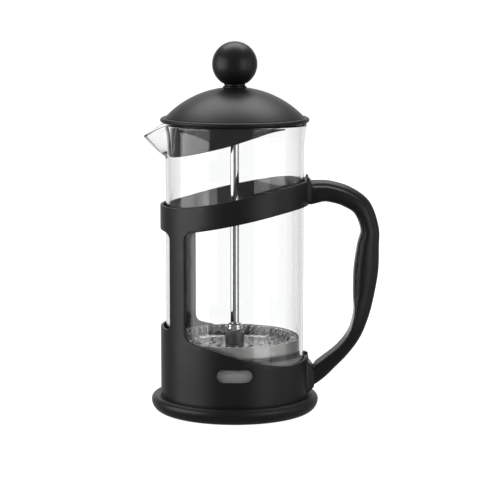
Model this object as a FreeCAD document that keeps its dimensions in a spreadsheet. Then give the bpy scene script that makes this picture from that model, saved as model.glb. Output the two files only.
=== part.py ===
"""French press for three small cups: glass beaker in a moulded holder, plunger with filter pack, lid, knob.

All lengths are in millimetres.  +Z is up and the origin is on the beaker's axis, in the plane of the foot's
underside.  The pouring spout points along -X and the handle along +X.
"""
import FreeCAD, Part
import math
import os
import Sketcher

doc = FreeCAD.newDocument("FrenchPress")

# ---------------------------------------------------------------------------------------------------------
# Driving dimensions
# ---------------------------------------------------------------------------------------------------------
DIMENSIONS = [
    # holder: foot ring, cup, two posts and the slanted band, round the outside of the glass
    ("holder_bore", 35.25), ("holder_wall", 1.5), ("holder_bottom", 2.0),
    ("floor_top", 8.0), ("floor_thick", 2.0), ("floor_bore", 24.0),
    ("band_height", 12.5), ("band_spout_z", 106.1), ("band_low_x", 20.0), ("band_low_z", 108.0),
    ("band_high_x", 20.0), ("band_high_z", 116.3), ("band_handle_z", 118.8), ("band_end_x", 38.0),
    ("band_bend_low", 91.0), ("band_bend_high", 137.0),
    ("post_left", 31.8), ("post_right", 24.5), ("post_back", 21.4),
    ("corner_run", 3.5), ("corner_drop", 4.5),
    ("corner_bend", 4.6), ("left_corner", 3.4),
    ("cup_spout_z", 43.8), ("cup_post_z", 41.0), ("cup_low_x", 9.0), ("cup_low_z", 31.2),
    ("cup_dip_x", 27.0), ("cup_dip_z", 27.4), ("cup_handle_z", 29.4), ("cup_bend_long", 120.0),
    ("cup_bend_short", 18.3),
    ("slot_half", 5.8), ("slot_end", 3.25), ("slot_bend", 3.4), ("slot_z", 24.4),
    ("foot_face", 33.4), ("foot_out", 42.6), ("foot_belly_z", 5.9),
    ("foot_top_z", 8.6), ("foot_lip", 2.6),
    # handle and the two places where it is screwed to the holder
    ("lug_out", 39.5), ("lug_low", 106.6), ("lug_high", 117.6), ("lug_width", 15.0),
    ("boss_out", 40.3), ("boss_peak_z", 28.3), ("boss_high", 23.8), ("boss_low", 12.6),
    ("boss_foot_z", 9.4), ("boss_width", 16.0),
    ("screw_high_z", 112.2), ("screw_low_z", 18.8), ("screw_start", 35.6), ("tenon_long", 3.0),
    ("tenon_half", 3.6),
    ("screw_head", 3.4), ("screw_sink", 1.6), ("screw_shank", 1.8), ("screw_high_long", 14.0),
    ("screw_low_long", 9.4), ("screw_tip", 1.4),
    # glass beaker and the soft ring that it stands on
    ("glass_out", 35.0), ("glass_wall", 1.6), ("glass_bottom", 9.0), ("glass_floor", 2.6),
    ("glass_corner", 6.0), ("glass_neck_z", 134.0), ("glass_top", 147.2), ("glass_flare", 1.4),
    ("flare_bend", 62.9),
    ("spout_root_z", 129.5), ("spout_root", 1.5), ("spout_tip", 3.2), ("spout_back", 11.0),
    ("spout_back_x", 30.0), ("spout_skin", 2.3), ("spout_tip_x", 46.0), ("spout_tip_z", 140.6),
    ("spout_rim_x", 33.6),
    ("cushion_out", 31.0), ("cushion_bore", 25.0), ("cushion_top", 8.95),
    # lid: domed cover, skirt below it and the bush that guides the rod
    ("dome_ball", 48.2), ("dome_centre_z", 117.0), ("dome_wall", 1.8), ("bead_out", 37.75),
    ("bead_low", 147.5), ("bead_high", 150.1), ("bead_in", 33.3),
    ("dome_foot", 35.0),
    ("skirt_out", 32.7), ("skirt_wall", 1.2), ("skirt_deep_z", 129.8), ("skirt_mid_x", 3.0),
    ("skirt_mid_z", 138.0), ("skirt_bend_x", 14.4), ("skirt_bend_z", 143.5), ("skirt_handle_z", 144.6),
    ("skirt_end_x", 34.0), ("skirt_bend", 40.0),
    ("bush_out", 4.4), ("bush_fit", 0.05), ("bush_flange", 6.0), ("bush_flange_low", 165.0),
    ("bush_flange_high", 165.6), ("bush_end", 158.0), ("bush_clip", 5.0), ("bush_clip_high", 162.9),
    ("bush_clip_low", 162.1),
    # plunger: knob, rod and the filter pack
    ("knob_ball", 11.4), ("knob_centre_z", 176.7), ("knob_neck", 5.3), ("knob_low", 165.9),
    ("knob_flat", 6.3),
    ("insert_out", 3.5), ("insert_low", 166.6), ("insert_high", 177.0),
    ("rod_out", 2.2), ("rod_low", 28.6), ("rod_high", 175.0),
    ("nut_out", 4.05), ("nut_low", 40.5), ("nut_shoulder", 42.4), ("nut_crown", 2.9), ("nut_high", 45.2),
    ("sleeve_out", 4.9), ("plate_top", 32.1), ("plate_thick", 0.5), ("plate_flat", 25.0),
    ("plate_edge", 27.6), ("plate_edge_z", 35.6), ("plate_hole", 1.1),
    ("plate_ring_1", 8.5), ("plate_ring_2", 13.5), ("plate_ring_3", 18.5), ("plate_ring_4", 22.8),
    ("spring_ring", 30.2), ("spring_coil", 2.4), ("spring_z", 35.9),
    ("mesh_thick", 0.45), ("mesh_out", 32.95), ("mesh_rim", 0.3), ("mesh_rim_high", 38.3),
    ("cross_thick", 0.85), ("cross_out", 31.0), ("cross_window", 4.2), ("cross_window_at", 21.5),
    ("cross_hole", 2.2), ("cross_hole_at", 11.0),
    ("stud_out", 5.2), ("stud_low", 27.6),
]

# The handle's centre line, from the band down to the cup: how far out from the axis, how high, and how
# thick it is there, measured across the centre line.
HANDLE_STATIONS = [
    (39.5, 112.0, 12.4), (48.2, 112.4, 10.8), (56.4, 109.9, 10.2), (64.3, 104.3, 9.8), (68.4, 93.5, 9.4),
    (67.6, 84.0, 11.4), (66.7, 72.5, 12.7), (65.6, 60.0, 11.0), (64.6, 50.0, 8.2), (61.3, 39.6, 6.8),
    (55.3, 31.1, 6.9), (47.2, 23.6, 8.2), (40.3, 18.2, 11.4),
]
HANDLE_WIDTH = [15.0, 14.0, 14.0, 14.0, 14.5, 15.5, 16.0, 15.5, 14.5, 13.5, 13.0, 12.5, 13.0]

sheet = doc.addObject("Spreadsheet::Sheet", "Dimensions")
value = {}
rows = list(DIMENSIONS)
for number, (out, up, thick) in enumerate(HANDLE_STATIONS):
    rows.append(("grip_out_%d" % number, out))
    rows.append(("grip_up_%d" % number, up))
    rows.append(("grip_thick_%d" % number, thick))
    rows.append(("grip_wide_%d" % number, HANDLE_WIDTH[number]))
for row, (alias, number) in enumerate(rows, start=1):
    sheet.set("A%d" % row, alias)
    sheet.set("B%d" % row, str(number))
    sheet.setAlias("B%d" % row, alias)
    value[alias] = number
doc.recompute()


class Length:
    """A length worked out from the sheet: its number, and the expression that gives the same number."""

    def __init__(self, number, text):
        self.number = number
        self.text = text

    def _join(self, other, sign, number):
        text = other.text if isinstance(other, Length) else repr(float(other))
        return Length(number, "(%s %s %s)" % (self.text, sign, text))

    def __add__(self, other):
        return self._join(other, "+", self.number + number_of(other))

    def __sub__(self, other):
        return self._join(other, "-", self.number - number_of(other))

    def __mul__(self, factor):
        return self._join(factor, "*", self.number * number_of(factor))

    def __neg__(self):
        return Length(-self.number, "(-1 * %s)" % self.text)


def number_of(size):
    """The plain number of a Length or of a number."""
    return size.number if isinstance(size, Length) else float(size)


def dim(alias):
    """The driving dimension with this alias."""
    return Length(value[alias], "Dimensions.%s" % alias)


NOTHING = Length(0.0, "0.0")


def bind(item, prop, size):
    """Ties a property of an object to the sheet."""
    item.setExpression(prop, size.text)


def new_body(name):
    """A PartDesign body that becomes the node of this name."""
    body = doc.addObject("PartDesign::Body", name)
    body.Label = name
    return body


def new_sketch(body, name, role):
    """A sketch on one of the body's own origin planes."""
    sketch = body.newObject("Sketcher::SketchObject", name)
    plane = [item for item in body.Origin.OriginFeatures if item.Role == role][0]
    sketch.AttachmentSupport = [(plane, "")]
    sketch.MapMode = "FlatFace"
    return sketch


def pin_point(sketch, edge, end, across, up):
    """Fixes one end of an edge at (across, up) from the sketch's origin, each tied to the sheet."""
    for kind, size, axis in (("DistanceX", across, -2), ("DistanceY", up, -1)):
        if size.text == "0.0":
            sketch.addConstraint(Sketcher.Constraint("PointOnObject", edge, end, axis))
        else:
            index = sketch.addConstraint(Sketcher.Constraint(kind, -1, 1, edge, end, size.number))
            sketch.setExpression("Constraints[%d]" % index, size.text)


def draw_outline(sketch, corners):
    """A closed outline through corners (across, up, bend).

    The bend belongs to the edge that leaves the corner.  Without one the edge is straight.  A Length is the
    radius of a short arc, which turns left where the Length is positive and right where it is negative.
    """
    points = [FreeCAD.Vector(number_of(corner[0]), number_of(corner[1]), 0) for corner in corners]
    ends = []
    for index, corner in enumerate(corners):
        start = points[index]
        finish = points[(index + 1) % len(points)]
        if len(corner) == 2:
            edge = sketch.addGeometry(Part.LineSegment(start, finish))
            first, last = 1, 2
        else:
            bend = corner[2]
            chord = finish - start
            reach = math.sqrt(max(bend.number ** 2 - chord.Length ** 2 / 4, 0))
            left = FreeCAD.Vector(-chord.y, chord.x, 0).normalize()
            centre = (start + finish) * 0.5 + left * math.copysign(reach, bend.number)
            angles = [math.atan2(point.y - centre.y, point.x - centre.x) for point in (start, finish)]
            first, last = 1, 2
            size = bend
            if bend.number < 0:
                angles.reverse()
                first, last = 2, 1
                size = -bend
            circle = Part.Circle(centre, FreeCAD.Vector(0, 0, 1), size.number)
            edge = sketch.addGeometry(Part.ArcOfCircle(circle, angles[0], angles[1]))
            limit = sketch.addConstraint(Sketcher.Constraint("Radius", edge, size.number))
            sketch.setExpression("Constraints[%d]" % limit, size.text)
        pin_point(sketch, edge, first, corner[0], corner[1])
        ends.append((edge, first, last))
    for index, (edge, first, last) in enumerate(ends):
        previous, _, previous_last = ends[index - 1]
        sketch.addConstraint(Sketcher.Constraint("Coincident", previous, previous_last, edge, first))


def turned(body, name, corners):
    """Turns an outline of (radius, height) corners all the way round the beaker's axis."""
    sketch = new_sketch(body, name + "_outline", "XZ_Plane")
    draw_outline(sketch, corners)
    spin = body.newObject("PartDesign::Revolution", name)
    spin.Profile = sketch
    spin.ReferenceAxis = (sketch, ["V_Axis"])
    spin.Angle = 360
    doc.recompute()
    return spin


def turned_along(body, kind, name, corners, height):
    """Adds or cuts an outline of (X, distance from the line) corners, turned round a line along X."""
    sketch = new_sketch(body, name + "_outline", "XZ_Plane")
    draw_outline(sketch, [(across, height + up) for across, up in corners])
    line = sketch.addGeometry(Part.LineSegment(FreeCAD.Vector(0, height.number, 0),
                                               FreeCAD.Vector(50, height.number, 0)), True)
    sketch.addConstraint(Sketcher.Constraint("Horizontal", line))
    pin_point(sketch, line, 1, NOTHING, height)
    spin = body.newObject(kind, name)
    spin.Profile = sketch
    spin.ReferenceAxis = (sketch, ["Axis0"])
    spin.Angle = 360
    doc.recompute()
    return spin


def pocket_through(body, name, sketch, side=None):
    """Cuts a sketch through the whole body: both ways from its plane, or only to the front or the back."""
    pocket = body.newObject("PartDesign::Pocket", name)
    pocket.Profile = sketch
    pocket.SideType = "One side" if side else "Symmetric"
    pocket.Type = "ThroughAll"
    pocket.Reversed = side == "front"
    doc.recompute()
    return pocket


def cut_across(body, name, corners, side=None):
    """Cuts an outline of (X, height) corners through the body along Y, right through or to one side."""
    sketch = new_sketch(body, name + "_outline", "XZ_Plane")
    draw_outline(sketch, corners)
    return pocket_through(body, name, sketch, side)


def pad_across(body, name, corners, width):
    """Adds a block with an outline of (X, height) corners, centred on the axis and this wide along Y."""
    sketch = new_sketch(body, name + "_outline", "XZ_Plane")
    draw_outline(sketch, corners)
    pad = body.newObject("PartDesign::Pad", name)
    pad.Profile = sketch
    pad.SideType = "Symmetric"
    bind(pad, "Length", width)
    doc.recompute()
    return pad


def hole_ring(body, name, radius, at, count):
    """A ring of round holes through a plate: one pocket and its polar pattern."""
    sketch = new_sketch(body, name + "_outline", "XY_Plane")
    circle = Part.Circle(FreeCAD.Vector(at.number, 0, 0), FreeCAD.Vector(0, 0, 1), radius.number)
    edge = sketch.addGeometry(circle)
    limit = sketch.addConstraint(Sketcher.Constraint("Radius", edge, radius.number))
    sketch.setExpression("Constraints[%d]" % limit, radius.text)
    pin_point(sketch, edge, 3, at, NOTHING)
    pocket = pocket_through(body, name, sketch)
    axis = [item for item in body.Origin.OriginFeatures if item.Role == "Z_Axis"][0]
    pattern = body.newObject("PartDesign::PolarPattern", name + "_pattern")
    pattern.Originals = [pocket]
    pattern.Axis = (axis, [""])
    pattern.Angle = 360
    pattern.Occurrences = count
    body.Tip = pattern
    doc.recompute()
    return pattern


def ball_height(ball, at):
    """How far above its centre a ball's surface is, at this distance from the axis."""
    number = math.sqrt(ball.number ** 2 - at.number ** 2)
    return Length(number, "sqrt(%s ^ 2 - %s ^ 2)" % (ball.text, at.text))


# ---------------------------------------------------------------------------------------------------------
# Holder: one black moulding of cup, posts and band, which the beaker drops into
# ---------------------------------------------------------------------------------------------------------
holder_bore = dim("holder_bore")
holder_out = holder_bore + dim("holder_wall")
floor_top = dim("floor_top")
floor_low = floor_top - dim("floor_thick")
band_top = dim("band_handle_z") + 3.0
window_far = holder_out + 4.0

# The band's edges: a gentle rise from the spout side, a straight climb, and a gentle arrival at the handle.
band_edge = [
    (-dim("band_end_x"), dim("band_spout_z"), dim("band_bend_low")),
    (-dim("band_low_x"), dim("band_low_z")),
    (dim("band_high_x"), dim("band_high_z"), -dim("band_bend_high")),
    (dim("band_end_x"), dim("band_handle_z")),
]
band_lower = [(corner[0], corner[1] - dim("band_height")) + corner[2:] for corner in band_edge]
band_slope = (value["band_high_z"] - value["band_low_z"]) / (value["band_high_x"] + value["band_low_x"])
cup_slope = (value["cup_post_z"] - value["cup_low_z"]) / (value["cup_low_x"] + value["post_right"])

holder = new_body("holder_frame")
turned(holder, "cup_and_band", [
    (holder_bore, dim("holder_bottom")), (holder_out, dim("holder_bottom")), (holder_out, band_top),
    (holder_bore, band_top), (holder_bore, floor_top), (dim("floor_bore"), floor_top),
    (dim("floor_bore"), floor_low), (holder_bore, floor_low),
])
cut_across(holder, "above_band", band_edge + [
    (dim("band_end_x"), band_top + 2.0), (-dim("band_end_x"), band_top + 2.0),
])

# Front and back windows: clockwise from the top of the posts' right edge, round to the cup's rim.
corner_run = dim("corner_run")
corner_drop = dim("corner_drop")
for name, post_edge in (("front_window", dim("post_right")), ("back_window", dim("post_back"))):
    top_corner_z = band_lower[1][1] - (post_edge - corner_run - dim("band_low_x")) * band_slope
    cut_across(holder, name, [
        (-post_edge, top_corner_z - corner_drop, -dim("corner_bend")),
        (-post_edge + corner_run, top_corner_z),
        (dim("band_high_x"), band_lower[2][1], -dim("band_bend_high")),
        (dim("band_end_x"), band_lower[3][1]),
        (dim("band_end_x"), dim("cup_handle_z"), -dim("cup_bend_short")),
        (dim("cup_dip_x"), dim("cup_dip_z"), -dim("cup_bend_long")),
        (dim("cup_low_x"), dim("cup_low_z")),
        (-post_edge + corner_run, dim("cup_post_z") - corner_run * cup_slope, -dim("corner_bend")),
        (-post_edge, dim("cup_post_z") + corner_run),
    ], side=name.split("_")[0])

# Spout-side window, between the two posts.
post_left = dim("post_left")
left_corner = dim("left_corner")
cut_across(holder, "spout_side_window", [
    (-window_far, band_lower[0][1]), (-post_left - left_corner, band_lower[0][1], -left_corner),
    (-post_left, band_lower[0][1] - left_corner),
    (-post_left, dim("cup_spout_z") + left_corner, -left_corner),
    (-post_left - left_corner, dim("cup_spout_z")), (-window_far, dim("cup_spout_z")),
])
slot_low = dim("slot_z") - dim("slot_end")
slot_high = dim("slot_z") + dim("slot_end")
cut_across(holder, "oval_slots", [
    (-dim("slot_half"), slot_low), (dim("slot_half"), slot_low, dim("slot_bend")),
    (dim("slot_half"), slot_high), (-dim("slot_half"), slot_high, dim("slot_bend")),
])

# Handle lug on the band, handle boss on the cup, and the tenon on each that enters the handle.
lug_root = holder_bore + 0.6
pad_across(holder, "handle_lug", [
    (lug_root, dim("lug_low")), (dim("lug_out"), dim("lug_low")), (dim("lug_out"), dim("lug_high")),
    (lug_root, dim("lug_high")),
], dim("lug_width"))
pad_across(holder, "handle_boss", [
    (lug_root, dim("boss_foot_z")), (holder_out, dim("boss_foot_z")), (dim("boss_out"), dim("boss_low")),
    (dim("boss_out"), dim("boss_high")), (lug_root, dim("boss_peak_z")),
], dim("boss_width"))

SCREWS = {
    "upper_handle_screw": (dim("screw_high_z"), dim("screw_high_long"), dim("lug_out")),
    "lower_handle_screw": (dim("screw_low_z"), dim("screw_low_long"), dim("boss_out")),
}
screw_start = dim("screw_start")
mortises = []
screws = []
for name, (height, long, face) in SCREWS.items():
    side = name.split("_")[0]
    tenon_end = face + dim("tenon_long")
    tenon_low = height - dim("tenon_half")
    tenon_high = height + dim("tenon_half")
    pad_across(holder, side + "_tenon", [
        (face - 0.5, tenon_low), (tenon_end, tenon_low), (tenon_end, tenon_high), (face - 0.5, tenon_high),
    ], dim("tenon_half") * 2)
    sink_end = screw_start + dim("screw_sink")
    tip_start = screw_start + long - dim("screw_tip")
    turned_along(holder, "PartDesign::Groove", side + "_screw_hole", [
        (holder_bore - 0.5, NOTHING), (tip_start, NOTHING), (tip_start, dim("screw_shank")),
        (sink_end, dim("screw_shank")), (screw_start, dim("screw_head")),
        (holder_bore - 0.5, dim("screw_head")),
    ], height)

    # Countersunk self-tapping screw, driven outward from the side where the glass stands.
    screw = new_body(name)
    turned_along(screw, "PartDesign::Revolution", side + "_screw_outline_turned", [
        (screw_start, NOTHING), (screw_start + long, NOTHING), (tip_start, dim("screw_shank")),
        (sink_end, dim("screw_shank")), (screw_start, dim("screw_head")),
    ], height)
    screws.append(screw)

    mortise = doc.addObject("Part::Box", side + "_mortise")
    bind(mortise, "Length", dim("tenon_long"))
    bind(mortise, "Width", dim("tenon_half") * 2)
    bind(mortise, "Height", dim("tenon_half") * 2)
    bind(mortise, "Placement.Base.x", face)
    bind(mortise, "Placement.Base.y", -dim("tenon_half"))
    bind(mortise, "Placement.Base.z", tenon_low)
    mortises.append(mortise)

# ---------------------------------------------------------------------------------------------------------
# Foot ring: snapped on round the bottom of the cup
# ---------------------------------------------------------------------------------------------------------
foot = new_body("foot_ring")
foot_belly = dim("foot_belly_z")
turned(foot, "foot_section", [
    (dim("foot_face"), NOTHING), (dim("foot_out") - foot_belly, NOTHING, foot_belly),
    (dim("foot_out"), foot_belly, dim("foot_lip")),
    (dim("foot_out") - dim("foot_lip"), foot_belly + dim("foot_lip")),
    (holder_out, dim("foot_top_z")), (holder_out, dim("holder_bottom")),
    (dim("foot_face"), dim("holder_bottom")),
])

# ---------------------------------------------------------------------------------------------------------
# Handle: one thick moulding, lofted through oval sections along its centre line
# ---------------------------------------------------------------------------------------------------------
sections = []
last_station = len(HANDLE_STATIONS) - 1
for number, (out, up, thick) in enumerate(HANDLE_STATIONS):
    before = HANDLE_STATIONS[max(number - 1, 0)]
    after = HANDLE_STATIONS[min(number + 1, last_station)]
    run = FreeCAD.Vector(after[0] - before[0], 0, after[1] - before[1])
    if number == 0:
        run = FreeCAD.Vector(1, 0, 0)
    if number == last_station:
        run = FreeCAD.Vector(-1, 0, 0)
    run.normalize()
    oval = doc.addObject("Part::Ellipse", "grip_section_%d" % number)
    across = FreeCAD.Vector(0, 1, 0)
    turn = FreeCAD.Rotation(across, run.cross(across), run, "ZXY")
    oval.Placement = FreeCAD.Placement(FreeCAD.Vector(out, 0, up), turn)
    bind(oval, "MajorRadius", dim("grip_wide_%d" % number) * 0.5)
    bind(oval, "MinorRadius", dim("grip_thick_%d" % number) * 0.5)
    bind(oval, "Placement.Base.x", dim("grip_out_%d" % number))
    bind(oval, "Placement.Base.z", dim("grip_up_%d" % number))
    sections.append(oval)
grip = doc.addObject("Part::Loft", "grip")
grip.Sections = sections
grip.Solid = True
grip.Ruled = False
doc.recompute()
remove = doc.addObject("Part::MultiFuse", "mortises_and_screws")
remove.Shapes = mortises + screws
handle = doc.addObject("Part::Cut", "handle")
handle.Base = grip
handle.Tool = remove
handle.Label = "handle"
doc.recompute()

# ---------------------------------------------------------------------------------------------------------
# Beaker: blown glass with a flared rim and a pulled spout, and the soft ring it stands on
# ---------------------------------------------------------------------------------------------------------
glass_out = dim("glass_out")
glass_in = glass_out - dim("glass_wall")
glass_low = dim("glass_bottom")
glass_floor = glass_low + dim("glass_floor")
glass_top = dim("glass_top")
neck = dim("glass_neck_z")
corner = dim("glass_corner")
inner_corner = corner - dim("glass_wall")
flare = dim("glass_flare")

beaker = new_body("glass_beaker")
turned(beaker, "blown_outside", [
    (NOTHING, glass_low), (glass_out - corner, glass_low, corner), (glass_out, glass_low + corner),
    (glass_out, neck, -dim("flare_bend")), (glass_out + flare, glass_top), (NOTHING, glass_top),
])


def spout_section(name, height, tip, tip_half, back_half):
    """One level section of the spout: a tongue towards -X with a round tip."""
    sketch = new_sketch(beaker, name, "XY_Plane")
    sketch.AttachmentOffset = FreeCAD.Placement(FreeCAD.Vector(0, 0, height.number), FreeCAD.Rotation())
    bind(sketch, "AttachmentOffset.Base.z", height)
    shoulder = -(tip - tip_half)
    draw_outline(sketch, [
        (-dim("spout_back_x"), back_half), (shoulder, tip_half, tip_half * 1.1), (shoulder, -tip_half),
        (-dim("spout_back_x"), -back_half),
    ])
    doc.recompute()
    return sketch


skin = dim("spout_skin")
spout_rise = glass_top - dim("spout_root_z")
outer_root = spout_section("outer_spout_root", dim("spout_root_z"), glass_out, dim("spout_root"),
                           dim("spout_root") * 1.2)
outer_rim = spout_section("outer_spout_rim", glass_top, glass_out + spout_rise, dim("spout_tip"),
                          dim("spout_back"))
spout = beaker.newObject("PartDesign::AdditiveLoft", "spout_outside")
spout.Profile = outer_root
spout.Sections = [outer_rim]
doc.recompute()

hollow_sketch = new_sketch(beaker, "blown_inside_outline", "XZ_Plane")
draw_outline(hollow_sketch, [
    (NOTHING, glass_floor), (glass_in - inner_corner, glass_floor, inner_corner),
    (glass_in, glass_floor + inner_corner), (glass_in, neck, -dim("flare_bend")),
    (glass_in + flare, glass_top), (NOTHING, glass_top),
])
hollow = beaker.newObject("PartDesign::Groove", "blown_inside")
hollow.Profile = hollow_sketch
hollow.ReferenceAxis = (hollow_sketch, ["V_Axis"])
hollow.Angle = 360
doc.recompute()

inner_root = spout_section("inner_spout_root", dim("spout_root_z") + skin, glass_out,
                           dim("spout_root") * 0.6, dim("spout_root") * 0.8)
inner_rim = spout_section("inner_spout_rim", glass_top, glass_out + spout_rise - skin,
                          dim("spout_tip") * 0.6, dim("spout_back") - skin)
channel = beaker.newObject("PartDesign::SubtractiveLoft", "spout_inside")
channel.Profile = inner_root
channel.Sections = [inner_rim]
doc.recompute()

# The rim dips towards the spout's tip in one straight slope.
slope_end_x = dim("spout_tip_x") * 2 - dim("spout_rim_x")
slope_end_z = dim("spout_tip_z") * 2 - glass_top
cut_across(beaker, "spout_slope", [
    (-dim("spout_rim_x"), glass_top), (-slope_end_x, slope_end_z), (-slope_end_x, glass_top + 2.0),
    (-dim("spout_rim_x"), glass_top + 2.0),
])

cushion = new_body("beaker_cushion")
turned(cushion, "cushion_section", [
    (dim("cushion_bore"), floor_top), (dim("cushion_out"), floor_top),
    (dim("cushion_out"), dim("cushion_top")), (dim("cushion_bore"), dim("cushion_top")),
])

# ---------------------------------------------------------------------------------------------------------
# Lid: domed cover with a beaded edge, a slanted skirt inside the glass, and the bush that guides the rod
# ---------------------------------------------------------------------------------------------------------
dome = dim("dome_ball")
dome_inside = dome - dim("dome_wall")
dome_z = dim("dome_centre_z")
bead_bend = (dim("bead_high") - dim("bead_low")) * 0.55
bead_root = dim("bead_out") - 1.0
lid_bore = dim("bush_out") + dim("bush_fit")

lid = new_body("lid_cover")
turned(lid, "dome_and_bead", [
    (lid_bore, dome_z + ball_height(dome_inside, lid_bore), -dome_inside),
    (dim("bead_in"), dome_z + ball_height(dome_inside, dim("bead_in"))),
    (dim("bead_in"), dim("bead_low")), (bead_root, dim("bead_low"), bead_bend),
    (bead_root, dim("bead_high")), (dim("dome_foot"), dim("bead_high")),
    (dim("dome_foot"), dome_z + ball_height(dome, dim("dome_foot")), dome),
    (lid_bore, dome_z + ball_height(dome, lid_bore)),
])

skirt_out = dim("skirt_out")
skirt_in = skirt_out - dim("skirt_wall")
skirt = new_body("lid_skirt")
turned(skirt, "skirt_tube", [
    (skirt_in, dim("skirt_deep_z") - 2.0), (skirt_out, dim("skirt_deep_z") - 2.0),
    (skirt_out, dome_z + ball_height(dome_inside, skirt_out) - 0.05),
    (skirt_in, dome_z + ball_height(dome_inside, skirt_out) - 0.05),
])
cut_across(skirt, "skirt_slant", [
    (-dim("skirt_end_x"), dim("skirt_deep_z") - 4.0), (dim("skirt_end_x"), dim("skirt_deep_z") - 4.0),
    (dim("skirt_end_x"), dim("skirt_handle_z"), dim("skirt_bend")),
    (dim("skirt_bend_x"), dim("skirt_bend_z")), (-dim("skirt_mid_x"), dim("skirt_mid_z")),
    (-dim("skirt_end_x"), dim("skirt_deep_z")),
])

rod_out = dim("rod_out")
bush = new_body("rod_bush")
bush_bore = rod_out + dim("bush_fit")
turned(bush, "bush_section", [
    (bush_bore, dim("bush_end")), (dim("bush_out"), dim("bush_end")),
    (dim("bush_out"), dim("bush_clip_low")),
    (dim("bush_clip"), dim("bush_clip_low")), (dim("bush_out"), dim("bush_clip_high")),
    (dim("bush_out"), dim("bush_flange_low")), (dim("bush_flange"), dim("bush_flange_low")),
    (dim("bush_flange"), dim("bush_flange_high")), (bush_bore, dim("bush_flange_high")),
])

# ---------------------------------------------------------------------------------------------------------
# Plunger: ball knob, brass insert, rod, and the filter pack that is screwed to the rod's lower end
# ---------------------------------------------------------------------------------------------------------
ball = dim("knob_ball")
ball_z = dim("knob_centre_z")
insert_out = dim("insert_out")
knob = new_body("knob")
turned(knob, "knob_section", [
    (insert_out, dim("knob_low")), (dim("knob_neck"), dim("knob_low")),
    (dim("knob_neck"), dim("knob_low") + 1.0),
    (dim("knob_flat"), ball_z - ball_height(ball, dim("knob_flat")), ball), (ball, ball_z, ball),
    (NOTHING, ball_z + ball), (NOTHING, dim("insert_high")), (insert_out, dim("insert_high")),
])

insert = new_body("knob_insert")
turned(insert, "insert_section", [
    (rod_out, dim("insert_low")), (insert_out, dim("insert_low")), (insert_out, dim("insert_high")),
    (NOTHING, dim("insert_high")), (NOTHING, dim("rod_high")), (rod_out, dim("rod_high")),
])

rod = new_body("plunger_rod")
turned(rod, "rod_section", [
    (NOTHING, dim("rod_low")), (rod_out, dim("rod_low")),
    (rod_out, dim("rod_high")), (NOTHING, dim("rod_high")),
])

lock_nut = new_body("rod_lock_nut")
turned(lock_nut, "lock_nut_section", [
    (rod_out, dim("nut_low")), (dim("nut_out"), dim("nut_low")),
    (dim("nut_out"), dim("nut_shoulder"), dim("nut_out")), (dim("nut_crown"), dim("nut_high")),
    (rod_out, dim("nut_high")),
])

plate_top = dim("plate_top")
plate_low = plate_top - dim("plate_thick")
sleeve = new_body("hub_sleeve")
turned(sleeve, "sleeve_section", [
    (rod_out, plate_top), (dim("sleeve_out"), plate_top), (dim("sleeve_out"), dim("nut_low")),
    (rod_out, dim("nut_low")),
])

spiral_plate = new_body("spiral_plate")
turned(spiral_plate, "plate_dish", [
    (rod_out, plate_low), (dim("plate_flat"), plate_low), (dim("plate_edge"), dim("plate_edge_z") - 0.3),
    (dim("plate_edge"), dim("plate_edge_z")), (dim("plate_edge") - 0.5, dim("plate_edge_z")),
    (dim("plate_flat") - 0.3, plate_top), (rod_out, plate_top),
])
for number, count in enumerate((10, 16, 22, 28), start=1):
    ring = dim("plate_ring_%d" % number)
    hole_ring(spiral_plate, "plate_holes_%d" % number, dim("plate_hole"), ring, count)

edge_spring = doc.addObject("Part::Torus", "edge_spring")
edge_spring.Label = "edge_spring"
bind(edge_spring, "Radius1", dim("spring_ring"))
bind(edge_spring, "Radius2", dim("spring_coil"))
bind(edge_spring, "Placement.Base.z", dim("spring_z"))

mesh_low = plate_low - dim("mesh_thick")
mesh_filter = new_body("mesh_filter")
turned(mesh_filter, "mesh_dish", [
    (rod_out, mesh_low), (dim("mesh_out"), mesh_low), (dim("mesh_out"), dim("mesh_rim_high")),
    (dim("mesh_out") - dim("mesh_rim"), dim("mesh_rim_high")),
    (dim("mesh_out") - dim("mesh_rim"), plate_low), (rod_out, plate_low),
])

cross_low = mesh_low - dim("cross_thick")
cross_plate = new_body("cross_plate")
turned(cross_plate, "cross_disc", [
    (rod_out, cross_low), (dim("cross_out"), cross_low), (dim("cross_out"), mesh_low), (rod_out, mesh_low),
])
hole_ring(cross_plate, "large_windows", dim("cross_window"), dim("cross_window_at"), 12)
hole_ring(cross_plate, "small_holes", dim("cross_hole"), dim("cross_hole_at"), 8)

stud = new_body("cross_plate_stud")
turned(stud, "stud_section", [
    (NOTHING, dim("stud_low")), (dim("stud_out"), dim("stud_low")), (dim("stud_out"), cross_low),
    (rod_out, cross_low), (rod_out, dim("rod_low")), (NOTHING, dim("rod_low")),
])

# ---------------------------------------------------------------------------------------------------------
# Checks, then one STEP file for each node
# ---------------------------------------------------------------------------------------------------------
nodes = [
    holder, foot, handle, cushion, beaker, lid, skirt, bush, knob, insert, rod, lock_nut, sleeve,
    spiral_plate, edge_spring, mesh_filter, cross_plate, stud,
] + screws

doc.recompute()
for item in doc.Objects:
    if "Invalid" in item.State or "Error" in item.State:
        raise RuntimeError("%s did not compute: %s" % (item.Label, item.State))
for node in nodes:
    if node.Shape.isNull() or not node.Shape.isValid() or not node.Shape.Solids:
        raise RuntimeError("%s has no valid solid" % node.Label)

os.makedirs("parts", exist_ok=True)
for node in nodes:
    node.Shape.exportStep("parts/%s.step" % node.Label)
    box = node.Shape.BoundBox
    print("%-20s %2d solid, %9.1f mm3, x %6.1f..%5.1f  y %6.1f..%5.1f  z %6.1f..%5.1f" % (
        node.Label, len(node.Shape.Solids), node.Shape.Volume,
        box.XMin, box.XMax, box.YMin, box.YMax, box.ZMin, box.ZMax))
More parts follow.
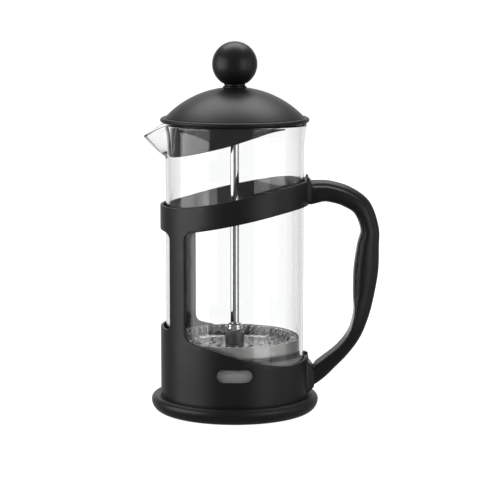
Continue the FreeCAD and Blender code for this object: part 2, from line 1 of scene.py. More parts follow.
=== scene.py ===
"""French press: the looks of each piece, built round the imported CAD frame.

Lengths are in metres, as in the frame; outlines are written in millimetres and scaled by MM.  +Z is up, the
handle points along +X, the pouring spout along -X, and the front of the press faces -Y.
"""

import math

import bmesh
import bpy
import numpy as np
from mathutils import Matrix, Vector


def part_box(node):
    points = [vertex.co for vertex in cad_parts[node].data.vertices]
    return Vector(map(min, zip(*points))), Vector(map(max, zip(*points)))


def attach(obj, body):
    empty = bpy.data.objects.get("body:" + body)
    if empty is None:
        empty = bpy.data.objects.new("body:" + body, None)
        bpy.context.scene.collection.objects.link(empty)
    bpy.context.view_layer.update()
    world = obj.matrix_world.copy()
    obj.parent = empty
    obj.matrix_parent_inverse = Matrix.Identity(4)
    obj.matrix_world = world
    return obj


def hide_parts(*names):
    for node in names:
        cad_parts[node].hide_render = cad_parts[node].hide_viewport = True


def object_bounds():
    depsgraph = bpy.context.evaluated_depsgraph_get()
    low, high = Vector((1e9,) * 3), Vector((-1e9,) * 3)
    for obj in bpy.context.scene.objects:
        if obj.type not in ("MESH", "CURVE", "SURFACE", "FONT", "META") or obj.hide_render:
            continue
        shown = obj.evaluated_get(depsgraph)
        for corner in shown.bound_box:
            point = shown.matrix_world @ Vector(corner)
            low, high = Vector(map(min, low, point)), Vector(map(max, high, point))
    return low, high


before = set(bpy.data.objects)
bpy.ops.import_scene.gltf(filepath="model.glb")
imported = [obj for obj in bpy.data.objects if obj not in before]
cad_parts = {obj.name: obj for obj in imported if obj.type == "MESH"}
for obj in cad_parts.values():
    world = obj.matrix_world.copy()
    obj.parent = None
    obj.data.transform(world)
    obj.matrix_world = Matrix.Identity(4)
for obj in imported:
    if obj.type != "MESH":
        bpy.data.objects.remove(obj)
cad_low, cad_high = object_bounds()
MM = 0.001

# ---------------------------------------------------------------------------------------------------------
# Holder frame
# One black polypropylene moulding: a cup, two posts and a slanted band round the glass.  It comes out of the
# tool with a fine spark-eroded grain and slightly rounded edges, and the handle is screwed to its lug and boss.
# ---------------------------------------------------------------------------------------------------------
HOLDER_LOW, HOLDER_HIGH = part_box("holder_frame")
WALL_OUT = HOLDER_HIGH.y / MM
WALL_THICK = 1.5
WALL_EDGE = 0.38
WALL_END = 4.0
BAND_HEIGHT = 12.5


def bent_path(corners, step=0.25):
    """Points along a path through corners (a, b) or (a, b, bend).

    From one corner to the next the path is straight, or an arc of radius bend, which turns left where the
    bend is positive and right where it is negative: centre minus the chord's left times radius times cosine,
    plus the chord's direction times radius times sine.
    """
    runs = []
    for corner, follower in zip(corners[:-1], corners[1:]):
        start, finish = np.array(corner[:2], float), np.array(follower[:2], float)
        length = np.hypot(*(finish - start))
        along = (finish - start) / length
        share = np.arange(0.0, 1.0, step / length)[:, None]
        if len(corner) == 2:
            runs.append(start + share * (finish - start))
            continue
        radius, side = abs(corner[2]), math.copysign(1.0, corner[2])
        left = np.array((-along[1], along[0])) * side
        centre = (start + finish) / 2 + left * math.sqrt(max(radius**2 - length**2 / 4, 0.0))
        angle = (share * 2 - 1) * math.asin(min(length / 2 / radius, 1.0))
        runs.append(centre - left * radius * np.cos(angle) + along * radius * np.sin(angle))
    runs.append(np.array([corners[-1][:2]], float))
    return np.vstack(runs)


def evenly_spaced(path, step):
    """The same path with its points a step apart, by linear interpolation over the length run so far."""
    run = np.concatenate([[0.0], np.cumsum(np.hypot(*np.diff(path, axis=0).T))])
    at = np.linspace(0.0, run[-1], int(run[-1] / step) + 2)
    return np.stack([np.interp(at, run, path[:, 0]), np.interp(at, run, path[:, 1])], axis=1)


def unrolled(path, front):
    """A path of (x, z) on the wall, laid flat: the distance round the wall is radius times arc cosine of x."""
    turn = np.arccos(np.clip(path[:, 0] / WALL_OUT, -1.0, 1.0))
    turn = 2 * math.pi - turn if front else turn
    return np.stack([turn * WALL_OUT, path[:, 1]], axis=1)


# Every punched sheet is made this far above its own plane, so the holder's wall stands 1 mm further out, and
# the two plates 1 mm higher, than their CAD nodes.  It is a known fault, kept as it was checked.
SHEET_LEVEL = 1.0


def punched_sheet(outlines, thick, edge, resolution=2):
    """A flat sheet as a bmesh, with rounded edges: the first outline is its rim and the rest are holes.

    Its outlines lie in X and Y, and its thickness runs along Z, half to each side of SHEET_LEVEL.
    """
    curve = bpy.data.curves.new("sheet_outline", "CURVE")
    curve.dimensions = "2D"
    curve.fill_mode = "BOTH"
    curve.extrude = thick / 2 - edge
    curve.bevel_depth = edge
    curve.bevel_resolution = resolution
    curve.offset = -edge
    for number, points in enumerate(outlines):
        across, up = points[:, 0], points[:, 1]
        area = np.sum(across * np.roll(up, -1) - up * np.roll(across, -1))
        points = points[::-1] if (area < 0) != (number > 0) else points
        flat_points = np.column_stack([points, np.full(len(points), SHEET_LEVEL), np.ones(len(points))])
        spline = curve.splines.new("POLY")
        spline.points.add(len(points) - 1)
        spline.points.foreach_set("co", flat_points.ravel())
        spline.use_cyclic_u = True
    stand_in = bpy.data.objects.new("sheet_outline", curve)
    bpy.context.scene.collection.objects.link(stand_in)
    graph = bpy.context.evaluated_depsgraph_get()
    flat = bpy.data.meshes.new_from_object(stand_in.evaluated_get(graph))
    sheet = bmesh.new()
    sheet.from_mesh(flat)
    bmesh.ops.remove_doubles(sheet, verts=sheet.verts, dist=1e-4)
    bmesh.ops.recalc_face_normals(sheet, faces=sheet.faces)
    bpy.data.objects.remove(stand_in)
    bpy.data.curves.remove(curve)
    bpy.data.meshes.remove(flat)
    return sheet


SAME_POINT = 5e-4


def sliced(sheet, cuts, axis):
    """Cuts a flat sheet by planes across one axis, so that it can be bent smoothly.

    Points that fall together are merged afterwards, and faces with no area are taken out.
    """
    normal = (1.0, 0.0, 0.0) if axis == 0 else (0.0, 1.0, 0.0)
    for cut in cuts:
        place = (cut, 0.0, 0.0) if axis == 0 else (0.0, cut, 0.0)
        whole = sheet.verts[:] + sheet.edges[:] + sheet.faces[:]
        bmesh.ops.bisect_plane(sheet, geom=whole, dist=1e-4, plane_co=place, plane_no=normal)
    bmesh.ops.remove_doubles(sheet, verts=sheet.verts, dist=SAME_POINT)
    bmesh.ops.dissolve_degenerate(sheet, dist=SAME_POINT, edges=sheet.edges)
    bmesh.ops.triangulate(sheet, faces=[face for face in sheet.faces if len(face.verts) > 4])
    return sheet


def one_face_a_cell(sheet, columns, levels):
    """Joins the slivers in each flat cell of the cutting grid, which leaves the sheet's shape as it is.

    An edge goes if both its faces are flat and it doesn't run along one of the cuts.
    """
    sheet.normal_update()
    spare = []
    for edge in sheet.edges:
        if len(edge.link_faces) != 2 or min(abs(face.normal.z) for face in edge.link_faces) < 0.9999:
            continue
        start, end = (vert.co for vert in edge.verts)
        upright = abs(start.x - end.x) < 1e-3 and np.abs(columns - start.x).min() < 1e-3
        level = abs(start.y - end.y) < 1e-3 and np.abs(levels - start.y).min() < 1e-3
        if not (upright or level):
            spare.append(edge)
    bmesh.ops.dissolve_edges(sheet, edges=spare, use_verts=True)
    bmesh.ops.triangulate(sheet, faces=[face for face in sheet.faces if len(face.verts) > 4])
    return sheet


def finished_piece(name, mesh, body, material, stands_for=()):
    """Puts a mesh into the scene as a piece that rides on a body, takes a slot's finish and replaces nodes."""
    mesh.name = name
    piece = bpy.data.objects.new(name, mesh)
    bpy.context.scene.collection.objects.link(piece)
    mesh.materials.clear()
    mesh.materials.append(material)
    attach(piece, body)
    if stands_for:
        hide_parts(*stands_for)
    return piece


def bent_round(sheet, name, thick):
    """The flat sheet bent round the beaker's axis, with the corner normals of its flat faces kept radial.

    Angle is distance along the sheet over the wall's outer radius; radius is the wall's middle plus depth.
    """
    mesh = bpy.data.meshes.new(name)
    sheet.to_mesh(mesh)
    sheet.free()
    count = len(mesh.vertices)
    flat = np.empty(count * 3)
    mesh.vertices.foreach_get("co", flat)
    flat = flat.reshape(-1, 3)
    normal = np.empty(count * 3)
    mesh.vertices.foreach_get("normal", normal)
    normal = normal.reshape(-1, 3)
    face = np.abs(np.abs(flat[:, 2]) - thick / 2) < 1e-3
    normal[face] = np.stack([np.zeros(count), np.zeros(count), np.sign(flat[:, 2])], axis=1)[face]
    turn = flat[:, 0] / WALL_OUT
    radius = WALL_OUT - thick / 2 + flat[:, 2]
    bent = np.stack([radius * np.cos(turn), radius * np.sin(turn), flat[:, 1]], axis=1) * MM
    mesh.vertices.foreach_set("co", bent.ravel())
    turned = np.stack([
        normal[:, 2] * np.cos(turn) - normal[:, 0] * np.sin(turn),
        normal[:, 2] * np.sin(turn) + normal[:, 0] * np.cos(turn),
        normal[:, 1],
    ], axis=1)
    mesh.polygons.foreach_set("use_smooth", np.ones(len(mesh.polygons), bool))
    mesh.update()
    mesh.normals_split_custom_set_from_vertices(turned.tolist())
    return mesh


def grid_mesh(name, grid, closed_rows=False, sharp_angle=38.0):
    """A mesh of quads over a grid of points (rows, columns, 3), joined round its columns.

    closed_rows also joins the last row to the first.  Points that fall together, as at a pole, are merged,
    faces are turned outward, and edges sharper than the angle stay crisp.
    """
    rows, columns = grid.shape[:2]
    index = np.arange(rows * columns).reshape(rows, columns)
    index = np.hstack([index, index[:, :1]])
    index = np.vstack([index, index[:1]]) if closed_rows else index
    quads = np.stack([index[:-1, :-1], index[:-1, 1:], index[1:, 1:], index[1:, :-1]], axis=-1).reshape(-1, 4)
    mesh = bpy.data.meshes.new(name)
    mesh.vertices.add(rows * columns)
    mesh.vertices.foreach_set("co", (grid * MM).astype(np.float32).ravel())
    mesh.loops.add(quads.size)
    mesh.loops.foreach_set("vertex_index", quads.ravel().astype(np.int32))
    mesh.polygons.add(len(quads))
    mesh.polygons.foreach_set("loop_start", np.arange(0, quads.size, 4, dtype=np.int32))
    mesh.update(calc_edges=True)
    shell = bmesh.new()
    shell.from_mesh(mesh)
    bmesh.ops.remove_doubles(shell, verts=shell.verts, dist=2e-7)
    bmesh.ops.recalc_face_normals(shell, faces=shell.faces)
    shell.to_mesh(mesh)
    shell.free()
    mesh.polygons.foreach_set("use_smooth", np.ones(len(mesh.polygons), bool))
    mesh.set_sharp_from_angle(angle=math.radians(sharp_angle))
    return mesh


def rounded_outline(corners, step=18.0):
    """A closed outline through corners (a, b, radius), each corner an arc of its radius between its sides."""
    places = np.array([corner[:2] for corner in corners], float)
    runs = []
    for number, corner in enumerate(corners):
        place = places[number]
        back = places[number - 1] - place
        ahead = places[(number + 1) % len(places)] - place
        back, ahead = back / np.hypot(*back), ahead / np.hypot(*ahead)
        if len(corner) == 2 or corner[2] == 0:
            runs.append(place[None])
            continue
        half = math.acos(np.clip(back @ ahead, -1, 1)) / 2
        middle = (back + ahead) / np.hypot(*(back + ahead))
        centre = place + middle * corner[2] / math.sin(half)
        sweep = math.pi / 2 - half
        side = (back - ahead) / np.hypot(*(back - ahead))
        angle = np.linspace(sweep, -sweep, max(2, int(math.degrees(2 * sweep) / step) + 2))[:, None]
        runs.append(centre - middle * corner[2] * np.cos(angle) + side * corner[2] * np.sin(angle))
    return np.vstack(runs)


def turned_grid(outline, columns=192):
    """An outline of (radius, height) turned round the beaker's axis: x and y are radius times cosine and sine."""
    turn = np.linspace(0, 2 * math.pi, columns, endpoint=False)
    radius, height = outline[:, 0][:, None], outline[:, 1][:, None]
    return np.stack(
        [radius * np.cos(turn), radius * np.sin(turn), np.broadcast_to(height, (len(outline), columns))], axis=-1
    )


def turned_piece(name, outline, body, material, stands_for=(), columns=192, closed=True):
    """A finished piece turned from an outline of (radius, height), which is closed unless it meets the axis."""
    mesh = grid_mesh(name, turned_grid(outline, columns), closed_rows=closed)
    return finished_piece(name, mesh, body, material, stands_for)


def oval_loft(stations, power, columns=64):
    """A closed block lofted through level stations (x, half width, low, high), each a squared oval.

    Width is half width times cosine to the power 2 / power, and height likewise with the sine; at both ends
    the last oval shrinks to a point.
    """
    x, half, low, high = np.array(stations, float).T[:, :, None]
    turn = np.linspace(0, 2 * math.pi, columns, endpoint=False)
    across = np.sign(np.cos(turn)) * np.abs(np.cos(turn)) ** (2 / power)
    up = np.sign(np.sin(turn)) * np.abs(np.sin(turn)) ** (2 / power)
    grid = np.stack([x + 0 * turn, half * across, (low + high) / 2 + (high - low) / 2 * up], axis=-1)
    ends = grid.mean(axis=1, keepdims=True)[[0, -1]] + 0 * grid[[0, -1]]
    return np.concatenate([ends[:1], grid, ends[1:]])


def add_node(tree, kind, inputs=None, **settings):
    """Adds a shader node: settings are its properties, and inputs are sockets to link or plain values."""
    made = tree.nodes.new(kind)
    for key, setting in settings.items():
        setattr(made, key, setting)
    for key, given in (inputs or {}).items():
        if isinstance(given, bpy.types.NodeSocket):
            tree.links.new(given, made.inputs[key])
        else:
            made.inputs[key].default_value = given
    return made


def sum_node(tree, operation, *given):
    """The result of one arithmetic node on up to two numbers, each a socket or a plain value."""
    return add_node(tree, "ShaderNodeMath", dict(enumerate(given)), operation=operation).outputs[0]


def mixed_colour(tree, factor, first, second):
    """A colour between two: each is a socket or plain (red, green, blue), and the factor is 0 at the first."""
    first, second = (c if isinstance(c, bpy.types.NodeSocket) else (*c, 1.0) for c in (first, second))
    mix = add_node(tree, "ShaderNodeMix", {"Factor": factor, 6: first, 7: second}, data_type="RGBA")
    return mix.outputs[2]


def shader_group(name, inputs, outputs):
    """An empty shader node group with number inputs (name and start value) and number outputs."""
    tree = bpy.data.node_groups.new(name, "ShaderNodeTree")
    for label, start in inputs.items():
        tree.interface.new_socket(name=label, in_out="INPUT", socket_type="NodeSocketFloat").default_value = start
    for label in outputs:
        tree.interface.new_socket(name=label, in_out="OUTPUT", socket_type="NodeSocketFloat")
    return tree, tree.nodes.new("NodeGroupInput").outputs, tree.nodes.new("NodeGroupOutput").inputs


def scaled(tree, source, low, high, out_low, out_high):
    """A number moved from the range low to high into the range out_low to out_high, and held inside it."""
    return add_node(tree, "ShaderNodeMapRange", {
        "Value": source, "From Min": low, "From Max": high, "To Min": out_low, "To Max": out_high,
    }).outputs["Result"]


def moulded_grain_group():
    """Tool grain on moulded plastic: a fine height, a slow gloss drift, a few pale dust specks, and 1 on the
    polished core side, which is where the surface faces the axis."""
    tree, given, result = shader_group("moulded_grain", {"Grains per metre": 3200.0, "Drift per metre": 38.0},
                                       ["Height", "Drift", "Dust", "Core"])
    place = add_node(tree, "ShaderNodeTexCoord").outputs["Object"]
    fine = add_node(tree, "ShaderNodeTexNoise", {"Vector": place, "Scale": given["Grains per metre"],
                                                 "Detail": 3.0, "Roughness": 0.65})
    drift = add_node(tree, "ShaderNodeTexNoise", {"Vector": place, "Scale": given["Drift per metre"],
                                                  "Detail": 3.0, "Roughness": 0.55})
    specks = add_node(tree, "ShaderNodeTexVoronoi", {"Vector": place, "Scale": 420.0})
    near = scaled(tree, specks.outputs["Distance"], 0.02, 0.12, 1.0, 0.0)
    rare = scaled(tree, add_node(tree, "ShaderNodeSeparateColor",
                                 {"Color": specks.outputs["Color"]}).outputs["Red"], 0.955, 0.965, 0.0, 1.0)
    dust = sum_node(tree, "MULTIPLY", near, rare)
    tree.links.new(fine.outputs["Fac"], result["Height"])
    tree.links.new(drift.outputs["Fac"], result["Drift"])
    tree.links.new(dust, result["Dust"])
    flat = add_node(tree, "ShaderNodeVectorMath", {0: place, 1: (1.0, 1.0, 0.0)}, operation="MULTIPLY")
    axis = add_node(tree, "ShaderNodeVectorMath", {0: flat.outputs["Vector"]}, operation="NORMALIZE")
    facing = add_node(tree, "ShaderNodeVectorMath", {
        0: axis.outputs["Vector"], 1: add_node(tree, "ShaderNodeTexCoord").outputs["Normal"],
    }, operation="DOT_PRODUCT")
    tree.links.new(scaled(tree, facing.outputs["Value"], -0.8, -0.95, 0.0, 1.0), result["Core"])
    return tree


def edge_rub_group():
    """Where hands and cupboards rub a moulding: its convex edges, broken up by noise."""
    tree, given, result = shader_group("edge_rub", {"Least bend": 0.53, "Full bend": 0.60}, ["Rub"])
    place = add_node(tree, "ShaderNodeTexCoord").outputs["Object"]
    bend = add_node(tree, "ShaderNodeNewGeometry").outputs["Pointiness"]
    edge = add_node(tree, "ShaderNodeMapRange", {"Value": bend, "From Min": given["Least bend"],
                                                 "From Max": given["Full bend"]}).outputs["Result"]
    patches = add_node(tree, "ShaderNodeTexNoise", {"Vector": place, "Scale": 260.0, "Detail": 5.0})
    broken = scaled(tree, patches.outputs["Fac"], 0.42, 0.66, 0.0, 1.0)
    tree.links.new(sum_node(tree, "MULTIPLY", edge, broken), result["Rub"])
    return tree


def empty_material(name):
    """A material with only its output and one Principled shader."""
    material = bpy.data.materials.new(name)
    material.use_nodes = True
    tree = material.node_tree
    tree.nodes.clear()
    shader = tree.nodes.new("ShaderNodeBsdfPrincipled")
    output = tree.nodes.new("ShaderNodeOutputMaterial")
    tree.links.new(shader.outputs["BSDF"], output.inputs["Surface"])
    return material, tree, shader


moulded_grain = moulded_grain_group()
edge_rub = edge_rub_group()


def moulded_plastic(name, colour, rubbed, gloss, grain_depth, grains=3200.0):
    """Moulded plastic: its colour, the paler colour of rubbed edges, its roughness range and its grain."""
    material, tree, shader = empty_material(name)
    grain = add_node(tree, "ShaderNodeGroup", node_tree=moulded_grain, inputs=None)
    grain.inputs["Grains per metre"].default_value = grains
    rub = add_node(tree, "ShaderNodeGroup", node_tree=edge_rub)
    drifted = mixed_colour(tree, grain.outputs["Drift"], colour, [c * 1.35 for c in colour])
    dust = scaled(tree, grain.outputs["Dust"], 0.0, 1.0, 0.0, 0.35)
    dusty = mixed_colour(tree, dust, drifted, (0.30, 0.29, 0.27))
    worn = mixed_colour(tree, scaled(tree, rub.outputs["Rub"], 0.0, 1.0, 0.0, 0.55), dusty, rubbed)
    grained = scaled(tree, grain.outputs["Drift"], 0.3, 0.7, gloss[0], gloss[1])
    shine = scaled(tree, grain.outputs["Core"], 0.0, 1.0, 0.0, gloss[0] / 2)
    rough = sum_node(tree, "SUBTRACT", grained, shine)
    polished = sum_node(tree, "SUBTRACT", rough, scaled(tree, rub.outputs["Rub"], 0, 1, 0, 0.08))
    bump = add_node(tree, "ShaderNodeBump", {"Strength": 1.0, "Distance": grain_depth,
                                             "Height": grain.outputs["Height"]})
    tree.links.new(worn, shader.inputs["Base Color"])
    tree.links.new(polished, shader.inputs["Roughness"])
    tree.links.new(bump.outputs["Normal"], shader.inputs["Normal"])
    return material


BLACK = (0.0062, 0.0062, 0.0064)
black_moulding = moulded_plastic("satin_black_moulding", BLACK, (0.05, 0.05, 0.052), (0.36, 0.44), 0.000012)

# The band's lower edge, the cup's rim and the window between them, seen from the front as x and height.
band_end = WALL_OUT * math.cos(WALL_END / WALL_OUT)
band_edge = [(-WALL_OUT, 106.15, 91.0), (-20.0, 108.0), (20.0, 116.3, -137.0), (band_end, 118.65)]
band_top = bent_path(band_edge)
window_top = [(x, z - BAND_HEIGHT, *bend) for x, z, *bend in band_edge[2:]]
window_low = [(band_end, 28.9, -18.3), (27.0, 27.4, -120.0), (9.0, 31.2)]


def window_edge(post_edge):
    """The edge of a front or back window, from the handle along the cup's rim, up the post and back."""
    return bent_path(window_low + [
        (post_edge + 3.5, 41.0 - 0.2925 * 3.5, -4.6), (post_edge, 44.5),
        (post_edge, 95.2 - 4.5, -4.6), (post_edge + 3.5, 95.2),
    ] + window_top)


front_window = unrolled(evenly_spaced(window_edge(-24.5), 0.7), True)
back_window = unrolled(evenly_spaced(window_edge(-21.4), 0.7), False)
front_band = unrolled(evenly_spaced(band_top[::-1], 0.8), True)
back_band = unrolled(evenly_spaced(band_top, 0.8), False)
cup_foot = np.array([(WALL_END, HOLDER_LOW.z / MM), (2 * math.pi * WALL_OUT - WALL_END, HOLDER_LOW.z / MM)])
holder_rim = np.vstack([cup_foot, front_window, front_band, back_band[1:],
                        back_window[::-1]])
spout_gap = evenly_spaced(bent_path([(-WALL_OUT, 93.6), (-35.2, 93.6, -3.4), (-31.8, 90.2), (-31.8, 47.2, -3.4),
                                     (-35.2, 43.8), (-WALL_OUT, 43.8)]), 0.6)
spout_window = np.vstack([unrolled(spout_gap, False), unrolled(spout_gap, True)[::-1][1:-1]])
slot_turn = np.linspace(0, 2 * math.pi, 41)[:-1]
slot_shape = np.stack([5.6 * np.sign(np.cos(slot_turn)) + 3.25 * np.cos(slot_turn),
                       24.4 + 3.25 * np.sin(slot_turn)], axis=1)
slots = [slot_shape + (WALL_OUT * math.pi * quarter / 2, 0) for quarter in (1, 3)]

holder_sheet = punched_sheet([holder_rim, spout_window, *slots], WALL_THICK, WALL_EDGE)
bend_step, level_step = 1.15, 2.4
bend_lines = np.arange(WALL_END + 1.2, 2 * math.pi * WALL_OUT - WALL_END, bend_step)
level_lines = np.arange(HOLDER_LOW.z / MM + 1.0, HOLDER_HIGH.z / MM, level_step)
holder_sheet = sliced(sliced(holder_sheet, bend_lines, 0), level_lines, 1)
holder_sheet = one_face_a_cell(holder_sheet, bend_lines, level_lines)
holder_mesh = bent_round(holder_sheet, "holder_frame_shell", WALL_THICK)
finished_piece("holder_wall", holder_mesh, "holder", black_moulding, ["holder_frame"])

floor_ring = rounded_outline([(24.0, 6.0, 0.5), (35.6, 6.0), (35.6, 8.0), (24.0, 8.0, 0.5)])
turned_piece("holder_floor", floor_ring, "holder", black_moulding)

# Lug and boss: they grow out of the wall and meet the handle's two ends.
LUG_STATIONS = [(35.3, 9.8, 106.1, 118.9), (36.4, 9.4, 106.1, 118.9), (37.4, 8.2, 106.3, 118.6),
                (38.5, 7.2, 106.2, 118.3)]
BOSS_STATIONS = [(35.3, 10.2, 9.0, 28.6), (36.4, 10.0, 9.1, 27.4), (38.6, 8.4, 10.8, 24.4),
                 (40.4, 6.7, 12.4, 22.2)]
for name, stations, power in (("band_lug", LUG_STATIONS, 6.0), ("cup_boss", BOSS_STATIONS, 9.0)):
    block = grid_mesh(name, oval_loft(stations, power))
    finished_piece(name, block, "holder", black_moulding)

# A raised bead frames the joint with the handle; its two upper ends stand above the band as small ears.
bead_line = bent_path([(-10.6, 107.4), (-9.2, 117.0), (-8.4, 119.8), (-7.0, 118.6), (7.0, 118.6), (8.4, 119.8),
                       (9.2, 117.0), (10.6, 107.4)], 0.3)
bead_line = evenly_spaced(bead_line, 0.45)
bead_turn = np.linspace(0, 2 * math.pi, 10, endpoint=False)
bead_heading = np.gradient(bead_line, axis=0)
bead_heading /= np.hypot(*bead_heading.T)[:, None]
bead_out = np.sqrt(WALL_OUT**2 - bead_line[:, 0] ** 2) + 0.1 + 0.9 * np.clip((bead_line[:, 1] - 112) / 8, 0, 1)
bead_size = np.full(len(bead_line), 0.62)
bead_size[[0, -1]] = 0.0
side = bead_size[:, None] * np.cos(bead_turn)
bead_grid = np.stack([
    bead_out[:, None] + bead_size[:, None] * np.sin(bead_turn),
    bead_line[:, 0][:, None] - bead_heading[:, 1][:, None] * side,
    bead_line[:, 1][:, None] + bead_heading[:, 0][:, None] * side,
], axis=-1)
finished_piece("joint_bead", grid_mesh("joint_bead", bead_grid), "holder", black_moulding)

# ---------------------------------------------------------------------------------------------------------
# Foot ring
# A heavier black ring snapped on under the cup, so that the press stands firm.  Its lip is a half round, and
# a fine gap shows where it meets the cup.
# ---------------------------------------------------------------------------------------------------------
FOOT_LOW, FOOT_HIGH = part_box("foot_ring")
foot_out = FOOT_HIGH.x / MM
foot_outline = np.vstack([
    rounded_outline([(33.4, 2.0, 0.3), (33.4, 0.0, 0.4), (36.7, 0.0), (36.7, 1.0)])[:-1],
    bent_path([(36.7, 0.0, 5.9), (foot_out, 5.9, 2.6), (foot_out - 2.6, 8.5)], 0.5),
    bent_path([(foot_out - 2.6, 8.5), (37.6, 8.1, -0.5), (37.05, 7.5)], 0.3)[1:],
    bent_path([(36.8, 6.6), (36.8, 2.0)], 1.2),
])
turned_piece("foot_ring_shell", foot_outline, "holder", black_moulding, ["foot_ring"], 240)

# ---------------------------------------------------------------------------------------------------------
# Handle
# A thick black moulding screwed to the lug and the boss.  A spine runs along its outside, set off by a
# shallow groove on each flank, and the inner side of the lower arm is flat.
# ---------------------------------------------------------------------------------------------------------
HANDLE_STATIONS = np.array([
    (38.2, 112.0, 12.2, 15.0), (43.6, 112.7, 10.9, 14.4), (48.2, 112.4, 10.7, 14.0), (56.4, 109.9, 10.4, 14.0),
    (64.3, 104.3, 9.8, 14.2), (68.4, 93.5, 9.4, 14.6), (67.6, 84.0, 11.4, 15.5), (66.7, 72.5, 12.7, 16.0),
    (65.6, 60.0, 11.0, 15.5), (64.6, 50.0, 8.2, 14.5), (61.3, 39.6, 6.8, 13.5), (55.3, 31.1, 6.9, 13.0),
    (47.2, 23.6, 8.2, 12.6), (40.2, 17.4, 9.9, 12.8),
])


def flowing(stations, count):
    """A smooth run through stations, a Catmull-Rom spline: each span is the cubic whose slope at a station is
    half the step between its neighbours."""
    padded = np.vstack([2 * stations[0] - stations[1], stations, 2 * stations[-1] - stations[-2]])
    at = np.linspace(0, len(stations) - 1 - 1e-9, count)
    span = at.astype(int)
    t = (at - span)[:, None]
    a, b, c, d = (padded[span + k] for k in range(4))
    return 0.5 * (2 * b + (c - a) * t + (2 * a - 5 * b + 4 * c - d) * t**2 + (3 * b - a - 3 * c + d) * t**3)


handle_run = flowing(HANDLE_STATIONS, 200)
share = np.linspace(0, 1, len(handle_run))[:, None]
heading = np.gradient(handle_run[:, :2], axis=0)
heading /= np.hypot(*heading.T)[:, None]
ends = np.array([[1.0, 0.0], [-1.0, 0.0]])
near_end = np.clip(1 - np.stack([share[:, 0], 1 - share[:, 0]], axis=1) / 0.06, 0, 1)
heading = heading * (1 - near_end.sum(axis=1))[:, None] + near_end @ ends
heading /= np.hypot(*heading.T)[:, None]
outward = np.stack([-heading[:, 1], heading[:, 0]], axis=1)
turn = np.linspace(0, 2 * math.pi, 96, endpoint=False)[None, :]
half_thick, half_wide = handle_run[:, 2:3] / 2, handle_run[:, 3:4] / 2
arm_flat = np.clip((share - 0.62) / 0.14, 0, 1)
outer_power = 2.25
inner_power = 2.3 + 5.7 * arm_flat + 2.0 * np.clip(1 - share / 0.16, 0, 1)
power = np.where(np.cos(turn) > 0, outer_power, inner_power)
depth = half_thick * np.sign(np.cos(turn)) * np.abs(np.cos(turn)) ** (2 / power)
width = half_wide * np.sign(np.sin(turn)) * np.abs(np.sin(turn)) ** (2 / power)
width = width * 0.95 * (1 - 0.20 * depth / half_thick * np.clip(share / 0.05, 0, 1))
spine = np.clip(share / 0.03, 0, 1) * np.clip((0.80 - share) / 0.16, 0, 1)
groove_depth, spine_taper = 0.075, 0.10
from_groove = depth - (half_thick - 2.5)
groove = groove_depth * np.exp(-((from_groove / 0.55) ** 2))
past_groove = spine_taper / (1 + np.exp(-(from_groove - 0.1) / 0.25))
width = width * (1 - spine * (groove + past_groove))
handle_grid = np.stack([
    handle_run[:, 0:1] + outward[:, 0:1] * depth, width + 0 * depth, handle_run[:, 1:2] + outward[:, 1:2] * depth,
], axis=-1)
caps = handle_grid.mean(axis=1, keepdims=True)[[0, -1]] + 0 * handle_grid[[0, -1]]
handle_grid = np.concatenate([caps[:1], handle_grid, caps[1:]])
finished_piece("handle_grip", grid_mesh("handle_grip", handle_grid), "holder", black_moulding,
               ["handle"])


# ---------------------------------------------------------------------------------------------------------
# Handle screws
# Two countersunk self-tapping screws of zinc-plated steel, driven from the side where the glass stands.
# The CAD nodes have the true shape, so they only get their plating here.
# ---------------------------------------------------------------------------------------------------------
def worked_metal_group():
    """Tool marks on metal: fine lines across one direction, and slow cloudy stains from handling."""
    tree, given, result = shader_group("worked_metal", {"Lines per metre": 5200.0}, ["Lines", "Stain"])
    place = add_node(tree, "ShaderNodeTexCoord").outputs["Object"]
    parts = add_node(tree, "ShaderNodeSeparateXYZ", {"Vector": place})
    squares = [sum_node(tree, "POWER", parts.outputs[k], 2.0) for k in ("X", "Y")]
    radius = sum_node(tree, "SQRT", sum_node(tree, "ADD", *squares))
    rings = sum_node(tree, "ADD", radius, parts.outputs["Z"])
    lines = add_node(tree, "ShaderNodeTexNoise", {"W": rings, "Scale": given["Lines per metre"], "Detail": 2.0},
                     noise_dimensions="1D")
    stain = add_node(tree, "ShaderNodeTexNoise", {"Vector": place, "Scale": 130.0, "Detail": 4.0})
    tree.links.new(lines.outputs["Fac"], result["Lines"])
    tree.links.new(stain.outputs["Fac"], result["Stain"])
    return tree


worked_metal = worked_metal_group()


def worked_steel(name, bright, dull, gloss, line_depth, lines=5200.0):
    """Metal with tool marks: its clean and stained colours, its roughness range and the depth of its marks."""
    material, tree, shader = empty_material(name)
    marks = add_node(tree, "ShaderNodeGroup", node_tree=worked_metal)
    marks.inputs["Lines per metre"].default_value = lines
    colour = mixed_colour(tree, scaled(tree, marks.outputs["Stain"], 0.35, 0.7, 0.0, 1.0), bright, dull)
    both = sum_node(tree, "MULTIPLY", marks.outputs["Lines"], marks.outputs["Stain"])
    bump = add_node(tree, "ShaderNodeBump", {"Strength": 1.0, "Distance": line_depth,
                                             "Height": marks.outputs["Lines"]})
    shader.inputs["Metallic"].default_value = 1.0
    tree.links.new(colour, shader.inputs["Base Color"])
    tree.links.new(scaled(tree, both, 0.1, 0.5, *gloss), shader.inputs["Roughness"])
    tree.links.new(bump.outputs["Normal"], shader.inputs["Normal"])
    return material


def dress_node(node, material):
    """Gives a CAD node its material, and smooths its facets without touching its mesh."""
    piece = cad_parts[node]
    piece.data.materials.clear()
    piece.data.materials.append(material)
    joined = piece.modifiers.new("join_facets", "WELD")
    joined.merge_threshold = 1e-6
    return piece


zinc_plate = worked_steel("bright_zinc_plate", (0.62, 0.63, 0.64), (0.42, 0.42, 0.41), (0.22, 0.42), 0.000004)
for screw in ("upper_handle_screw", "lower_handle_screw"):
    dress_node(screw, zinc_plate)

